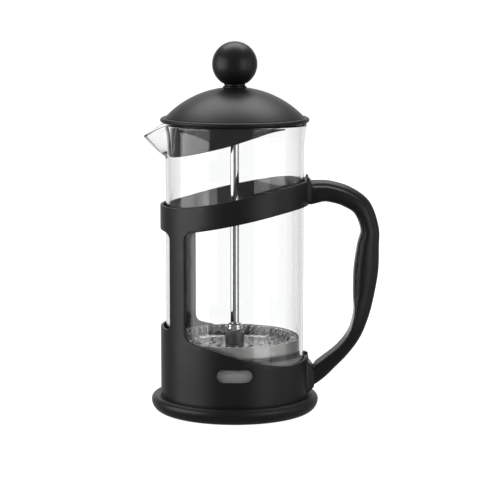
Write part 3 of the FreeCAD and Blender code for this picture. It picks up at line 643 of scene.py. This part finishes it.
# ---------------------------------------------------------------------------------------------------------
# Beaker cushion
# A thin ring of grey silicone on the cup's floor.  It keeps the glass from knocking on the plastic.
# ---------------------------------------------------------------------------------------------------------
CUSHION_LOW, CUSHION_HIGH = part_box("beaker_cushion")
cushion_out = CUSHION_HIGH.x / MM
cushion_outline = rounded_outline([
    (25.0, CUSHION_LOW.z / MM, 0.25), (cushion_out, CUSHION_LOW.z / MM, 0.25),
    (cushion_out, CUSHION_HIGH.z / MM, 0.35), (25.0, CUSHION_HIGH.z / MM, 0.35),
])
soft_silicone = moulded_plastic("grey_silicone", (0.11, 0.11, 0.11), (0.16, 0.16, 0.16), (0.55, 0.7), 0.00001)
turned_piece("cushion_ring", cushion_outline, "holder", soft_silicone, ["beaker_cushion"])

# ---------------------------------------------------------------------------------------------------------
# Glass beaker
# Blown borosilicate glass, drawn out to a spout while hot.  Its wall is even, its rim is flared and fire
# polished to a soft round, and its base turns up with a generous corner.
# ---------------------------------------------------------------------------------------------------------
GLASS_LOW, GLASS_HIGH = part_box("glass_beaker")
glass_out, glass_wall, glass_flare = 35.0, 1.6, 1.4
glass_foot, glass_top = GLASS_LOW.z / MM, GLASS_HIGH.z / MM
neck, neck_bend, corner = 134.0, 62.9, 6.0
rim_round = glass_wall / 2
spout_root, spout_reach, spout_dip = 129.0, 9.6, 6.6


def beaker_wall(inset, floor, to_rim):
    """One side of the glass from the middle of its floor up to its rim: floor, corner arc, wall, flare."""
    out, bend = glass_out - inset, corner - inset
    wall = bent_path([(0.0, floor), (out - bend, floor, bend), (out, floor + bend)], 1.0)
    upright = bent_path([(out, floor + bend), (out, spout_root - 1)], 4.0)[1:]
    upper = bent_path([(out, spout_root - 1), (out, neck, -neck_bend), (out + glass_flare, to_rim)], 0.9)[1:]
    return np.vstack([wall, upright[:-1], upper])


outside = beaker_wall(0.0, glass_foot, glass_top - rim_round)
inside = beaker_wall(glass_wall, glass_foot + 2.6, glass_top - rim_round)
rim_turn = np.linspace(0, math.pi, 8)[1:-1]
rim_centre = glass_out + glass_flare - rim_round
rim = np.stack([rim_centre + rim_round * np.cos(rim_turn), glass_top - rim_round + rim_round * np.sin(rim_turn)],
               axis=1)
glass_profile = np.vstack([outside, rim, inside[::-1]])
glass_turn = np.linspace(-math.pi, math.pi, 361)[:-1] + math.pi
from_spout = np.abs((glass_turn + 2 * math.pi) % (2 * math.pi) - math.pi)[None, :]
tongue = np.clip(1 - (np.sqrt(from_spout**2 + 0.045**2) - 0.045) / 0.36, 0, 1) ** 1.6
radius, height = glass_profile[:, 0][:, None], glass_profile[:, 1][:, None]
rise = np.clip((height - spout_root) / (glass_top - spout_root), 0, 1)
pulled = (1 - (1 - rise) ** 2) * np.clip(rise / 0.16, 0, 1) ** 1.5
radius = radius + spout_reach * pulled * tongue
height = height - spout_dip * rise**2 * tongue
glass_grid = np.stack([radius * np.cos(glass_turn), radius * np.sin(glass_turn), height + 0 * radius], axis=-1)


def blown_glass(name):
    """Clear glass, slightly wavy, with dried drops, and near its base a pale film that is partly haze and partly
    painted light; lamps shine through it.
    """
    material, tree, shader = empty_material(name)
    place = add_node(tree, "ShaderNodeTexCoord").outputs["Object"]
    wave = add_node(tree, "ShaderNodeTexNoise", {"Vector": place, "Scale": 26.0, "Detail": 1.0})
    drops = add_node(tree, "ShaderNodeTexNoise", {"Vector": place, "Scale": 150.0, "Detail": 5.0})
    bump = add_node(tree, "ShaderNodeBump", {"Strength": 1.0, "Distance": 0.00006,
                                             "Height": wave.outputs["Fac"]})
    tint = mixed_colour(tree, drops.outputs["Fac"], (0.995, 1.0, 0.998), (0.985, 0.992, 0.99))
    shader.inputs["Transmission Weight"].default_value = 1.0
    shader.inputs["Metallic"].default_value = 0.0
    shader.inputs["IOR"].default_value = 1.47
    tree.links.new(tint, shader.inputs["Base Color"])
    tree.links.new(scaled(tree, drops.outputs["Fac"], 0.62, 0.8, 0.0, 0.05), shader.inputs["Roughness"])
    tree.links.new(bump.outputs["Normal"], shader.inputs["Normal"])
    # The pale film is a diffuse white layer low on the glass, dipped into a crescent behind the slots: partly a
    # faint haze, mostly painted light for the grey glow seen through the slots.
    spot = add_node(tree, "ShaderNodeSeparateXYZ", {"Vector": place})
    aside = sum_node(tree, "ABSOLUTE", sum_node(tree, "SUBTRACT", spot.outputs["X"], 0.002))
    painted_light_edge = scaled(tree, aside, 0.0, 0.010, 0.0252, 0.0290)
    above = sum_node(tree, "SUBTRACT", spot.outputs["Z"], painted_light_edge)
    haze_and_painted_light = sum_node(tree, "MULTIPLY", scaled(tree, above, -0.0004, 0.0012, 0.21, 0.0),
                    scaled(tree, drops.outputs["Fac"], 0.3, 0.7, 0.7, 1.0))
    painted_light_diffuse = add_node(tree, "ShaderNodeBsdfDiffuse", {"Color": (0.80, 0.80, 0.79, 1.0)})
    glass_with_painted_light = add_node(tree, "ShaderNodeMixShader", {0: haze_and_painted_light, 1: shader.outputs["BSDF"],
                                                    2: painted_light_diffuse.outputs[0]})
    path = add_node(tree, "ShaderNodeLightPath")
    clear = add_node(tree, "ShaderNodeBsdfTransparent", {"Color": (0.95, 0.96, 0.955, 1.0)})
    lit = add_node(tree, "ShaderNodeMixShader", {0: path.outputs["Is Shadow Ray"], 1: glass_with_painted_light.outputs[0],
                                                 2: clear.outputs["BSDF"]})
    output = next(item for item in tree.nodes if item.type == "OUTPUT_MATERIAL")
    tree.links.new(lit.outputs[0], output.inputs["Surface"])
    return material


clear_glass = blown_glass("blown_beaker_glass")
finished_piece("beaker_glass_wall", grid_mesh("beaker_glass_wall", glass_grid, sharp_angle=70), "beaker",
               clear_glass, ["glass_beaker"])

# ---------------------------------------------------------------------------------------------------------
# Lid cover
# A shallow black dome with a rolled bead round its edge.  The bead rests on the glass rim, and a plain collar
# in the middle takes the bush.
# ---------------------------------------------------------------------------------------------------------
LID_LOW, LID_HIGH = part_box("lid_cover")
dome, dome_centre, dome_wall = 48.2, 117.0, 1.8
lid_low = LID_LOW.z / MM


def ball_height(ball, at):
    """How far above its centre a ball's surface is, at this distance from the axis."""
    return math.sqrt(ball**2 - at**2)


bush_hole, dome_foot, bead_root, bead_in = 4.45, 35.2, 36.65, 33.3
dome_inner = dome - dome_wall
dome_outline = np.vstack([
    bent_path([(bush_hole, dome_centre + ball_height(dome, bush_hole), -dome),
               (dome_foot, dome_centre + ball_height(dome, dome_foot))], 0.8)[:-1],
    bent_path([(dome_foot, dome_centre + ball_height(dome, dome_foot), 0.5),
               (bead_root - 0.3, 149.95, -1.15), (bead_root, lid_low)], 0.22),
    bent_path([(bead_root - 0.8, lid_low), (bead_in, lid_low)], 1.5),
    bent_path([(bead_in, lid_low + 0.2), (bead_in, dome_centre + ball_height(dome_inner, bead_in), dome_inner),
               (bush_hole, dome_centre + ball_height(dome_inner, bush_hole))], 1.2),
])
turned_piece("lid_dome", dome_outline, "lid", black_moulding, ["lid_cover"], 240)

# ---------------------------------------------------------------------------------------------------------
# Lid skirt
# A glossy black sleeve clipped under the dome.  Its lower edge is cut on a slant, so that turning the lid
# opens or shuts the way to the spout.
# ---------------------------------------------------------------------------------------------------------
SKIRT_LOW, SKIRT_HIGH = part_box("lid_skirt")
skirt_out, skirt_wall, skirt_top = SKIRT_HIGH.x / MM, 1.2, SKIRT_HIGH.z / MM
skirt_edge = bent_path([(-34.0, 129.8), (-3.0, 138.0), (14.4, 143.5, -40.0), (34.0, 144.6)])
skirt_turn = np.linspace(0, 2 * math.pi, 288, endpoint=False)
skirt_low = np.interp(skirt_out * np.cos(skirt_turn), skirt_edge[:, 0], skirt_edge[:, 1])[None, :]
lip = skirt_wall / 2
lip_turn = np.linspace(0, math.pi, 9)[:, None]
middle = skirt_out - lip
levels = np.linspace(0, 1, 8)[1:, None]
straight = np.ones_like(levels)
skirt_radius = np.vstack([
    skirt_out * straight, middle + lip * np.cos(lip_turn), (skirt_out - skirt_wall) * straight,
]) + 0 * skirt_low
skirt_height = np.vstack([
    (skirt_low + lip + levels * (skirt_top - skirt_low - lip))[::-1],
    skirt_low + lip - lip * np.sin(lip_turn),
    skirt_low + lip + levels * (skirt_top - skirt_low - lip),
])
skirt_grid = np.stack(
    [skirt_radius * np.cos(skirt_turn), skirt_radius * np.sin(skirt_turn), skirt_height], axis=-1
)
gloss_black = moulded_plastic("gloss_black_moulding", (0.006, 0.006, 0.0065), (0.03, 0.03, 0.03), (0.07, 0.13),
                              0.0000012, 1400.0)
finished_piece("lid_skirt_sleeve", grid_mesh("lid_skirt_sleeve", skirt_grid, closed_rows=True), "lid",
               gloss_black, ["lid_skirt"])

# ---------------------------------------------------------------------------------------------------------
# Rod bush
# A small black bush snapped into the dome's collar.  The rod slides through it, and its flange closes the hole.
# ---------------------------------------------------------------------------------------------------------
BUSH_LOW, BUSH_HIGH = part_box("rod_bush")
bush_bore, bush_low, bush_high = 2.25, BUSH_LOW.z / MM, BUSH_HIGH.z / MM
bush_flange = BUSH_HIGH.x / MM
bush_outline = rounded_outline([
    (bush_bore, bush_low, 0.2), (4.4, bush_low, 0.4), (4.4, 162.1), (5.0, 162.1, 0.1), (4.4, 162.9),
    (4.4, bush_high - 0.6), (bush_flange, bush_high - 0.6, 0.1), (bush_flange, bush_high, 0.25),
    (bush_bore, bush_high, 0.2),
])
turned_piece("rod_guide_bush", bush_outline, "lid_carrier", black_moulding, ["rod_bush"], 96)

# ---------------------------------------------------------------------------------------------------------
# Knob and its insert
# A black ball moulded round a knurled brass insert, into which the rod is screwed.  A short neck under the
# ball comes to rest on the bush.
# ---------------------------------------------------------------------------------------------------------
KNOB_LOW, KNOB_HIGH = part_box("knob")
ball = KNOB_HIGH.x / MM
ball_centre = KNOB_HIGH.z / MM - ball
knob_low, neck_out, flat_out, insert_out = KNOB_LOW.z / MM - 0.26, 5.3, 6.3, 3.5
insert_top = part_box("knob_insert")[1].z / MM
knob_outline = np.vstack([
    bent_path([(0.0, insert_top), (insert_out, insert_top), (insert_out, knob_low + 0.25), (3.75, knob_low),
               (neck_out - 0.4, knob_low, 0.42), (neck_out, knob_low + 0.4), (neck_out, knob_low + 1.0, -0.9),
               (flat_out, ball_centre - ball_height(ball, flat_out))], 0.4)[:-1],
    bent_path([(flat_out, ball_centre - ball_height(ball, flat_out), ball), (ball, ball_centre, ball),
               (0.0, ball_centre + ball)], 0.45),
])
turned_piece("ball_knob", knob_outline, "plunger", black_moulding, ["knob"], 144, closed=False)
knurled_brass = worked_steel("knurled_brass", (0.75, 0.58, 0.28), (0.52, 0.38, 0.17), (0.25, 0.45), 0.00001)
dress_node("knob_insert", knurled_brass)

# ---------------------------------------------------------------------------------------------------------
# Plunger rod, lock nut and hub sleeve
# A drawn and polished stainless rod, threaded at both ends.  A domed chrome nut locks it to a plain turned
# sleeve, which presses the filter pack together.
# ---------------------------------------------------------------------------------------------------------
ROD_LOW, ROD_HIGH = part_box("plunger_rod")
rod_out = ROD_HIGH.x / MM
rod_outline = rounded_outline([(0.0, ROD_LOW.z / MM), (rod_out, ROD_LOW.z / MM, 0.3), (rod_out, 60.0),
                               (rod_out, 110.0), (rod_out, ROD_HIGH.z / MM, 0.3), (0.0, ROD_HIGH.z / MM)])
polished_steel = worked_steel("polished_stainless", (0.86, 0.86, 0.855), (0.80, 0.80, 0.79), (0.05, 0.12),
                              0.0000006, 900.0)
turned_piece("polished_rod", rod_outline, "plunger", polished_steel, ["plunger_rod"], 64,
             closed=False)

NUT_LOW, NUT_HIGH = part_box("rod_lock_nut")
nut_out, nut_low, nut_high = NUT_HIGH.x / MM, NUT_LOW.z / MM, NUT_HIGH.z / MM
nut_outline = np.vstack([
    bent_path([(rod_out, nut_high), (2.6, nut_high, -2.2), (3.75, 43.1, -2.0), (nut_out, 42.0)], 0.2)[:-1],
    rounded_outline([(nut_out, 42.0), (nut_out, nut_low, 0.3), (rod_out, nut_low)]),
])
turned_piece("domed_lock_nut", nut_outline, "plunger", polished_steel, ["rod_lock_nut"], 96)

SLEEVE_LOW, SLEEVE_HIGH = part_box("hub_sleeve")
sleeve_out = SLEEVE_HIGH.x / MM
sleeve_outline = rounded_outline([
    (rod_out, SLEEVE_LOW.z / MM), (sleeve_out, SLEEVE_LOW.z / MM, 0.2), (sleeve_out, 33.6),
    (sleeve_out - 0.25, 33.9), (sleeve_out - 0.25, 34.3), (sleeve_out, 34.6),
    (sleeve_out, SLEEVE_HIGH.z / MM, 0.45), (rod_out, SLEEVE_HIGH.z / MM),
])
# The sleeve's steel is painted dark grey: a painted shade.
shaded_hub_steel = worked_steel("shade_darkened_turned_steel", (0.24, 0.24, 0.245), (0.17, 0.17, 0.17), (0.34, 0.5), 0.000004,
                          2600)
turned_piece("turned_hub_sleeve", sleeve_outline, "plunger", shaded_hub_steel, ["hub_sleeve"], 96)

# ---------------------------------------------------------------------------------------------------------
# Spiral plate and cross plate
# Two stampings of thin stainless sheet.  The upper one is dished, with rings of small holes whose edges are
# drawn down; the lower one carries the mesh on broad webs between its windows.
# ---------------------------------------------------------------------------------------------------------
PLATE_LOW, PLATE_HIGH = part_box("spiral_plate")
# The stampings' stainless is painted dark grey, a painted shade, and the lips below are painted near white, a
# painted highlight; both are the same sheet.
shaded_stamped_steel = worked_steel("shade_darkened_stainless", (0.30, 0.30, 0.30), (0.20, 0.20, 0.20), (0.12, 0.26), 0.000002)
painted_highlight_lip = worked_steel("painted_highlight_lip_steel", (0.90, 0.90, 0.89), (0.76, 0.76, 0.75), (0.05, 0.14), 0.000001)


def circle(radius, at=0.0, turn=0.0, count=24):
    """A closed circle of this radius, whose centre stands out from the origin at an angle."""
    sweep = np.linspace(0, 2 * math.pi, count, endpoint=False)
    return np.stack([at * math.cos(turn) + radius * np.cos(sweep), at * math.sin(turn) + radius * np.sin(sweep)],
                    axis=1)


def stamped_disc(name, outer, bore, rings, thick, edge, level):
    """A punched disc, raised to its level: height is the sheet's depth plus the level at that radius and angle."""
    holes = [circle(size, at, 2 * math.pi * number / count + stagger, 14)
             for count, size, at, stagger in rings for number in range(count)]
    sheet = punched_sheet([circle(outer, count=180), circle(bore, count=32), *holes], thick, edge, 1)
    steps = np.arange(-outer + 1.9, outer, 1.9)
    sheet = sliced(sliced(sheet, steps, 0), steps, 1)
    mesh = bpy.data.meshes.new(name)
    sheet.to_mesh(mesh)
    sheet.free()
    flat = np.empty(len(mesh.vertices) * 3)
    mesh.vertices.foreach_get("co", flat)
    flat = flat.reshape(-1, 3)
    flat[:, 2] += level(np.hypot(flat[:, 0], flat[:, 1]), np.arctan2(flat[:, 1], flat[:, 0]))
    mesh.vertices.foreach_set("co", (flat * MM).ravel())
    mesh.polygons.foreach_set("use_smooth", np.ones(len(mesh.polygons), bool))
    mesh.set_sharp_from_angle(angle=math.radians(40))
    return mesh


plate_rings = [(10, 1.1, 8.5, 0.0), (16, 1.1, 13.5, 0.1), (22, 1.1, 18.5, 0.0), (28, 1.1, 23.4, 0.06)]
plate_thick, lip_round, lip_height = 0.5, 0.50, 1.05
lip_level = 0.45
plate_floor = PLATE_LOW.z / MM + plate_thick / 2
plate_mesh = stamped_disc(
    "spiral_plate_sheet", PLATE_HIGH.x / MM, rod_out + 0.05, plate_rings, plate_thick, 0.12,
    lambda r, a: plate_floor + np.clip((r - 25.0) / 2.6, 0, 1) ** 1.5 * (2.4 + 0.6 * np.sin(34 * a))
    + 0.35 * np.exp(-(((r - 11.0) / 1.1) ** 2)) + 0.35 * np.exp(-(((r - 16.0) / 1.1) ** 2))
    + 0.35 * np.exp(-(((r - 20.8) / 0.9) ** 2)))
finished_piece("perforated_plate", plate_mesh, "plunger", shaded_stamped_steel, ["spiral_plate"])

# The punch draws the metal up round each hole into a small lip, painted far brighter than the plate as a painted
# highlight.
lip_sweep = np.linspace(0, 2 * math.pi, 8, endpoint=False)[:, None]
lip_shape = circle(1.0, count=16).T
lip_grids = []
for count, size, at, stagger in plate_rings:
    for number in range(count):
        spot = 2 * math.pi * number / count + stagger
        reach = size + lip_level + lip_round * np.cos(lip_sweep)
        rise = plate_floor + lip_level + lip_height * np.sin(lip_sweep)
        lip_grids.append(np.stack([
            at * math.cos(spot) + reach * lip_shape[0], at * math.sin(spot) + reach * lip_shape[1],
            rise + 0 * reach * lip_shape[0],
        ], axis=-1))
lips = bmesh.new()
for grid in lip_grids:
    lip_mesh = grid_mesh("plate_lip", grid, closed_rows=True)
    lips.from_mesh(lip_mesh)
    bpy.data.meshes.remove(lip_mesh)
lips_mesh = bpy.data.meshes.new("plate_lips")
lips.to_mesh(lips_mesh)
lips.free()
finished_piece("plate_lips", lips_mesh, "plunger", painted_highlight_lip)

CROSS_LOW, CROSS_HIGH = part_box("cross_plate")
cross_middle = (CROSS_LOW.z + CROSS_HIGH.z) / 2 / MM
cross_mesh = stamped_disc("cross_plate_sheet", CROSS_HIGH.x / MM, rod_out + 0.05,
                          [(12, 4.2, 21.5, 0.0), (8, 2.2, 11.0, 0.0)], 0.85, 0.2, lambda r, a: cross_middle + 0 * r)
finished_piece("webbed_plate", cross_mesh, "plunger", shaded_stamped_steel, ["cross_plate"])
dress_node("cross_plate_stud", shaded_stamped_steel)

# ---------------------------------------------------------------------------------------------------------
# Edge spring
# A long fine spring of stainless wire, bent into a ring and hooked end to end.  It lies in the mesh's upturned
# rim and presses it out against the glass.
# ---------------------------------------------------------------------------------------------------------
SPRING_LOW, SPRING_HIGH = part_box("edge_spring")
spring_level = (SPRING_LOW.z + SPRING_HIGH.z) / 2 / MM
coil = (SPRING_HIGH.z - SPRING_LOW.z) / 2 / MM
spring_ring = SPRING_HIGH.x / MM - coil
wire, coil_turns, points_a_turn = 0.46, 52, 20


def coiled_ring(ring, coil_radius, turns, per_turn, level):
    """The centre line of a coil laid round a ring: out from the ring by cosine, up by sine of the coil's turn."""
    way = np.linspace(0, 2 * math.pi, turns * per_turn, endpoint=False)
    out = ring + coil_radius * np.cos(way * turns)
    return np.stack([out * np.cos(way), out * np.sin(way), level + coil_radius * np.sin(way * turns)], axis=1)


def round_wire(line, size, columns):
    """A closed wire along a closed line: each point's section is a circle across the line's direction."""
    ahead = np.roll(line, -1, axis=0) - np.roll(line, 1, axis=0)
    ahead /= np.linalg.norm(ahead, axis=1, keepdims=True)
    first = np.cross(ahead, line * (1, 1, 0))
    first /= np.linalg.norm(first, axis=1, keepdims=True)
    second = np.cross(ahead, first)
    sweep = np.linspace(0, 2 * math.pi, columns, endpoint=False)[None, :, None]
    return line[:, None] + size * (first[:, None] * np.cos(sweep) + second[:, None] * np.sin(sweep))


spring_line = coiled_ring(spring_ring, coil - wire, coil_turns, points_a_turn, spring_level)
spring_steel = worked_steel("spring_wire", (0.72, 0.72, 0.71), (0.50, 0.50, 0.49), (0.12, 0.25), 0.000001)
finished_piece("coiled_edge_spring", grid_mesh("coiled_edge_spring", round_wire(spring_line, wire, 8),
                                               closed_rows=True, sharp_angle=80),
               "plunger", spring_steel, ["edge_spring"])


# ---------------------------------------------------------------------------------------------------------
# Mesh filter
# A disc of fine stainless wire cloth between the two plates.  Its edge is turned up round the spring, where it
# brushes the glass.
# ---------------------------------------------------------------------------------------------------------
def wire_cloth_group():
    """Plain weave over a UV map in metres: two sets of wires as sines, each lifted where it crosses over."""
    tree, given, result = shader_group("wire_cloth", {"Wires per metre": 2600.0}, ["Height", "Painted gap shade"])
    place = add_node(tree, "ShaderNodeUVMap", uv_map="cloth").outputs["UV"]
    parts = add_node(tree, "ShaderNodeSeparateXYZ", {"Vector": place})
    count = sum_node(tree, "MULTIPLY", given["Wires per metre"], math.pi)
    waves = []
    for axis in ("X", "Y"):
        phase = sum_node(tree, "MULTIPLY", parts.outputs[axis], count)
        waves.append(sum_node(tree, "ABSOLUTE", sum_node(tree, "SINE", phase)))
    tree.links.new(sum_node(tree, "MAXIMUM", *waves), result["Height"])
    tree.links.new(scaled(tree, sum_node(tree, "ADD", *waves), 0.45, 0.8, 1.0, 0.0), result["Painted gap shade"])
    return tree


wire_cloth = wire_cloth_group()


def woven_steel(name):
    """Fine steel cloth: bright wires, painted shade in the gaps between them, and cloudy stains from coffee."""
    material, tree, shader = empty_material(name)
    cloth = add_node(tree, "ShaderNodeGroup", node_tree=wire_cloth)
    marks = add_node(tree, "ShaderNodeGroup", node_tree=worked_metal)
    stained = mixed_colour(tree, scaled(tree, marks.outputs["Stain"], 0.35, 0.75, 0.0, 0.7),
                           (0.72, 0.72, 0.71), (0.52, 0.51, 0.49))
    # The gaps between the wires are painted dark grey: painted shade where the cloth's openings would show the dark
    # inside of the press.
    colour = mixed_colour(tree, scaled(tree, cloth.outputs["Painted gap shade"], 0.0, 1.0, 0.0, 0.8), stained,
                          (0.10, 0.10, 0.10))
    bump = add_node(tree, "ShaderNodeBump", {"Strength": 0.8, "Distance": 0.00008,
                                             "Height": cloth.outputs["Height"]})
    shader.inputs["Metallic"].default_value = 1.0
    tree.links.new(colour, shader.inputs["Base Color"])
    tree.links.new(scaled(tree, marks.outputs["Stain"], 0.3, 0.7, 0.28, 0.42), shader.inputs["Roughness"])
    tree.links.new(bump.outputs["Normal"], shader.inputs["Normal"])
    return material


MESH_LOW, MESH_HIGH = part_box("mesh_filter")
mesh_out, mesh_low, mesh_high, mesh_thick = MESH_HIGH.x / MM, MESH_LOW.z / MM, MESH_HIGH.z / MM, 0.3
mesh_profile = np.vstack([
    bent_path([(rod_out + 0.05, mesh_low), (mesh_out - 1.6, mesh_low, 1.6), (mesh_out, mesh_low + 1.6),
               (mesh_out, mesh_high)], 0.8),
    bent_path([(mesh_out - mesh_thick, mesh_high), (mesh_out - mesh_thick, mesh_low + 1.7, -1.3),
               (mesh_out - 1.6, mesh_low + 0.45), (rod_out + 0.05, mesh_low + 0.45)], 0.8),
])
cloth_mesh = grid_mesh("wire_cloth_dish", turned_grid(mesh_profile, 240), closed_rows=True)
cloth_corners = np.empty(len(cloth_mesh.loops), np.int32)
cloth_mesh.loops.foreach_get("vertex_index", cloth_corners)
cloth_points = np.empty(len(cloth_mesh.vertices) * 3)
cloth_mesh.vertices.foreach_get("co", cloth_points)
cloth_points = cloth_points.reshape(-1, 3)
upright = cloth_points[:, 2] > (mesh_low + 1.2) * MM
around = np.arctan2(cloth_points[:, 1], cloth_points[:, 0]) * mesh_out * MM
cloth_uv = np.where(upright[:, None], np.stack([around, cloth_points[:, 2]], axis=1), cloth_points[:, :2])
cloth_layer = cloth_mesh.uv_layers.new(name="cloth")
cloth_layer.data.foreach_set("uv", cloth_uv[cloth_corners].astype(np.float32).ravel())
finished_piece("wire_cloth_dish", cloth_mesh, "plunger", woven_steel("stainless_wire_cloth"),
               ["mesh_filter"])


# ---------------------------------------------------------------------------------------------------------
# Studio
# A plain white floor, a pale world, and soft lamps to the left, to the right and above.  The floor and world
# are white to the eye and through glass but darker in reflections, and mirrors don't show the floor.
# ---------------------------------------------------------------------------------------------------------
def unbounced(tree):
    """1 for what the eye sees straight or through glass, 0 for what a surface scatters or mirrors."""
    path = add_node(tree, "ShaderNodeLightPath")
    bounces = sum_node(tree, "ADD", path.outputs["Glossy Depth"], path.outputs["Diffuse Depth"])
    return sum_node(tree, "LESS_THAN", bounces, 0.5)


def white_floor():
    """A plain white floor, evenly lit to the eye and grey in reflections, as paper on a light table is."""
    material = bpy.data.materials.new("white_floor")
    material.use_nodes = True
    tree = material.node_tree
    tree.nodes.clear()
    paper = add_node(tree, "ShaderNodeBsdfDiffuse", {"Color": (0.30, 0.30, 0.30, 1.0)})
    glow = add_node(tree, "ShaderNodeEmission", {"Color": (1.0, 1.0, 1.0, 1.0), "Strength": 1.0})
    white = add_node(tree, "ShaderNodeAddShader", {0: paper.outputs[0], 1: glow.outputs[0]})
    dim = add_node(tree, "ShaderNodeBsdfDiffuse", {"Color": (0.12, 0.12, 0.12, 1.0)})
    mixed = add_node(tree, "ShaderNodeMixShader", {0: unbounced(tree), 1: dim.outputs[0], 2: white.outputs[0]})
    output = add_node(tree, "ShaderNodeOutputMaterial")
    tree.links.new(mixed.outputs[0], output.inputs["Surface"])
    return material


bpy.ops.mesh.primitive_circle_add(vertices=96, radius=14.0, fill_type="NGON", location=(0, 0, -0.0002))
floor = bpy.context.object
floor.name = "studio_floor"
floor.data.materials.append(white_floor())
floor.visible_glossy = False
floor.visible_transmission = False

world = bpy.data.worlds.new("studio")
bpy.context.scene.world = world
world.use_nodes = True
sky = world.node_tree
sky.nodes.clear()
direction = add_node(sky, "ShaderNodeSeparateXYZ", {
    "Vector": add_node(sky, "ShaderNodeTexCoord").outputs["Generated"],
})
glow = scaled(sky, direction.outputs["Y"], 0.75, 0.96, 0.18, 0.8)
through = add_node(sky, "ShaderNodeLightPath").outputs["Transmission Depth"]
behind = sum_node(sky, "MULTIPLY", scaled(sky, direction.outputs["Y"], 0.75, 0.9, 0.0, 1.0),
                  scaled(sky, through, 0.0, 1.0, 0.0, 1.0))
mirrored = add_node(sky, "ShaderNodeMix", {0: behind, 2: glow, 3: 1.0})
strength = add_node(sky, "ShaderNodeMix", {0: unbounced(sky), 2: mirrored.outputs[0], 3: 1.1})
backdrop = add_node(sky, "ShaderNodeBackground", {"Color": (1.0, 1.0, 1.0, 1.0),
                                                  "Strength": strength.outputs[0]})
world_output = add_node(sky, "ShaderNodeOutputWorld")
sky.links.new(backdrop.outputs[0], world_output.inputs["Surface"])


def softbox(name, place, aim, size, radiance):
    """A rectangular lamp of even brightness: its power is radiance times pi times its area."""
    lamp = bpy.data.lights.new(name, "AREA")
    lamp.shape = "RECTANGLE"
    lamp.size, lamp.size_y = size
    lamp.energy = radiance * math.pi * size[0] * size[1]
    holder = bpy.data.objects.new(name, lamp)
    bpy.context.scene.collection.objects.link(holder)
    way = np.array(aim) - np.array(place)
    holder.location = place
    level = math.hypot(way[0], way[1])
    holder.rotation_euler = (math.atan2(level, -way[2]), 0.0, math.atan2(way[1], way[0]) - math.pi / 2)
    return holder


middle_height = cad_high.z / 2
lamp_level = 0.20
for name, across, toward, lamp_width, radiance in (
    ("left_softbox", -1.05, -0.34, 1.20, 1.9),
    ("right_softbox", 0.79, -0.76, 0.55, 1.3),
    ("right_fill", 1.08, -0.19, 0.65, 0.5),
):
    softbox(name, (across, toward, lamp_level), (0, 0, lamp_level), (lamp_width, 0.90), radiance)
softbox("top_softbox", (0.0, 0.35, 0.95), (0, 0, middle_height), (1.05, 0.60), 3.4)

camera_data = bpy.data.cameras.new("camera")
camera_data.lens, camera_data.sensor_width = 157.5, 36.0
camera_data.clip_end = 60.0
camera = bpy.data.objects.new("camera", camera_data)
bpy.context.scene.collection.objects.link(camera)
camera.location = (0.00264, -1.05595, 0.23755)
camera.rotation_euler = (math.radians(81.91), 0.0, 0.0)
bpy.context.scene.camera = camera
bpy.context.scene.view_settings.view_transform = "Standard"
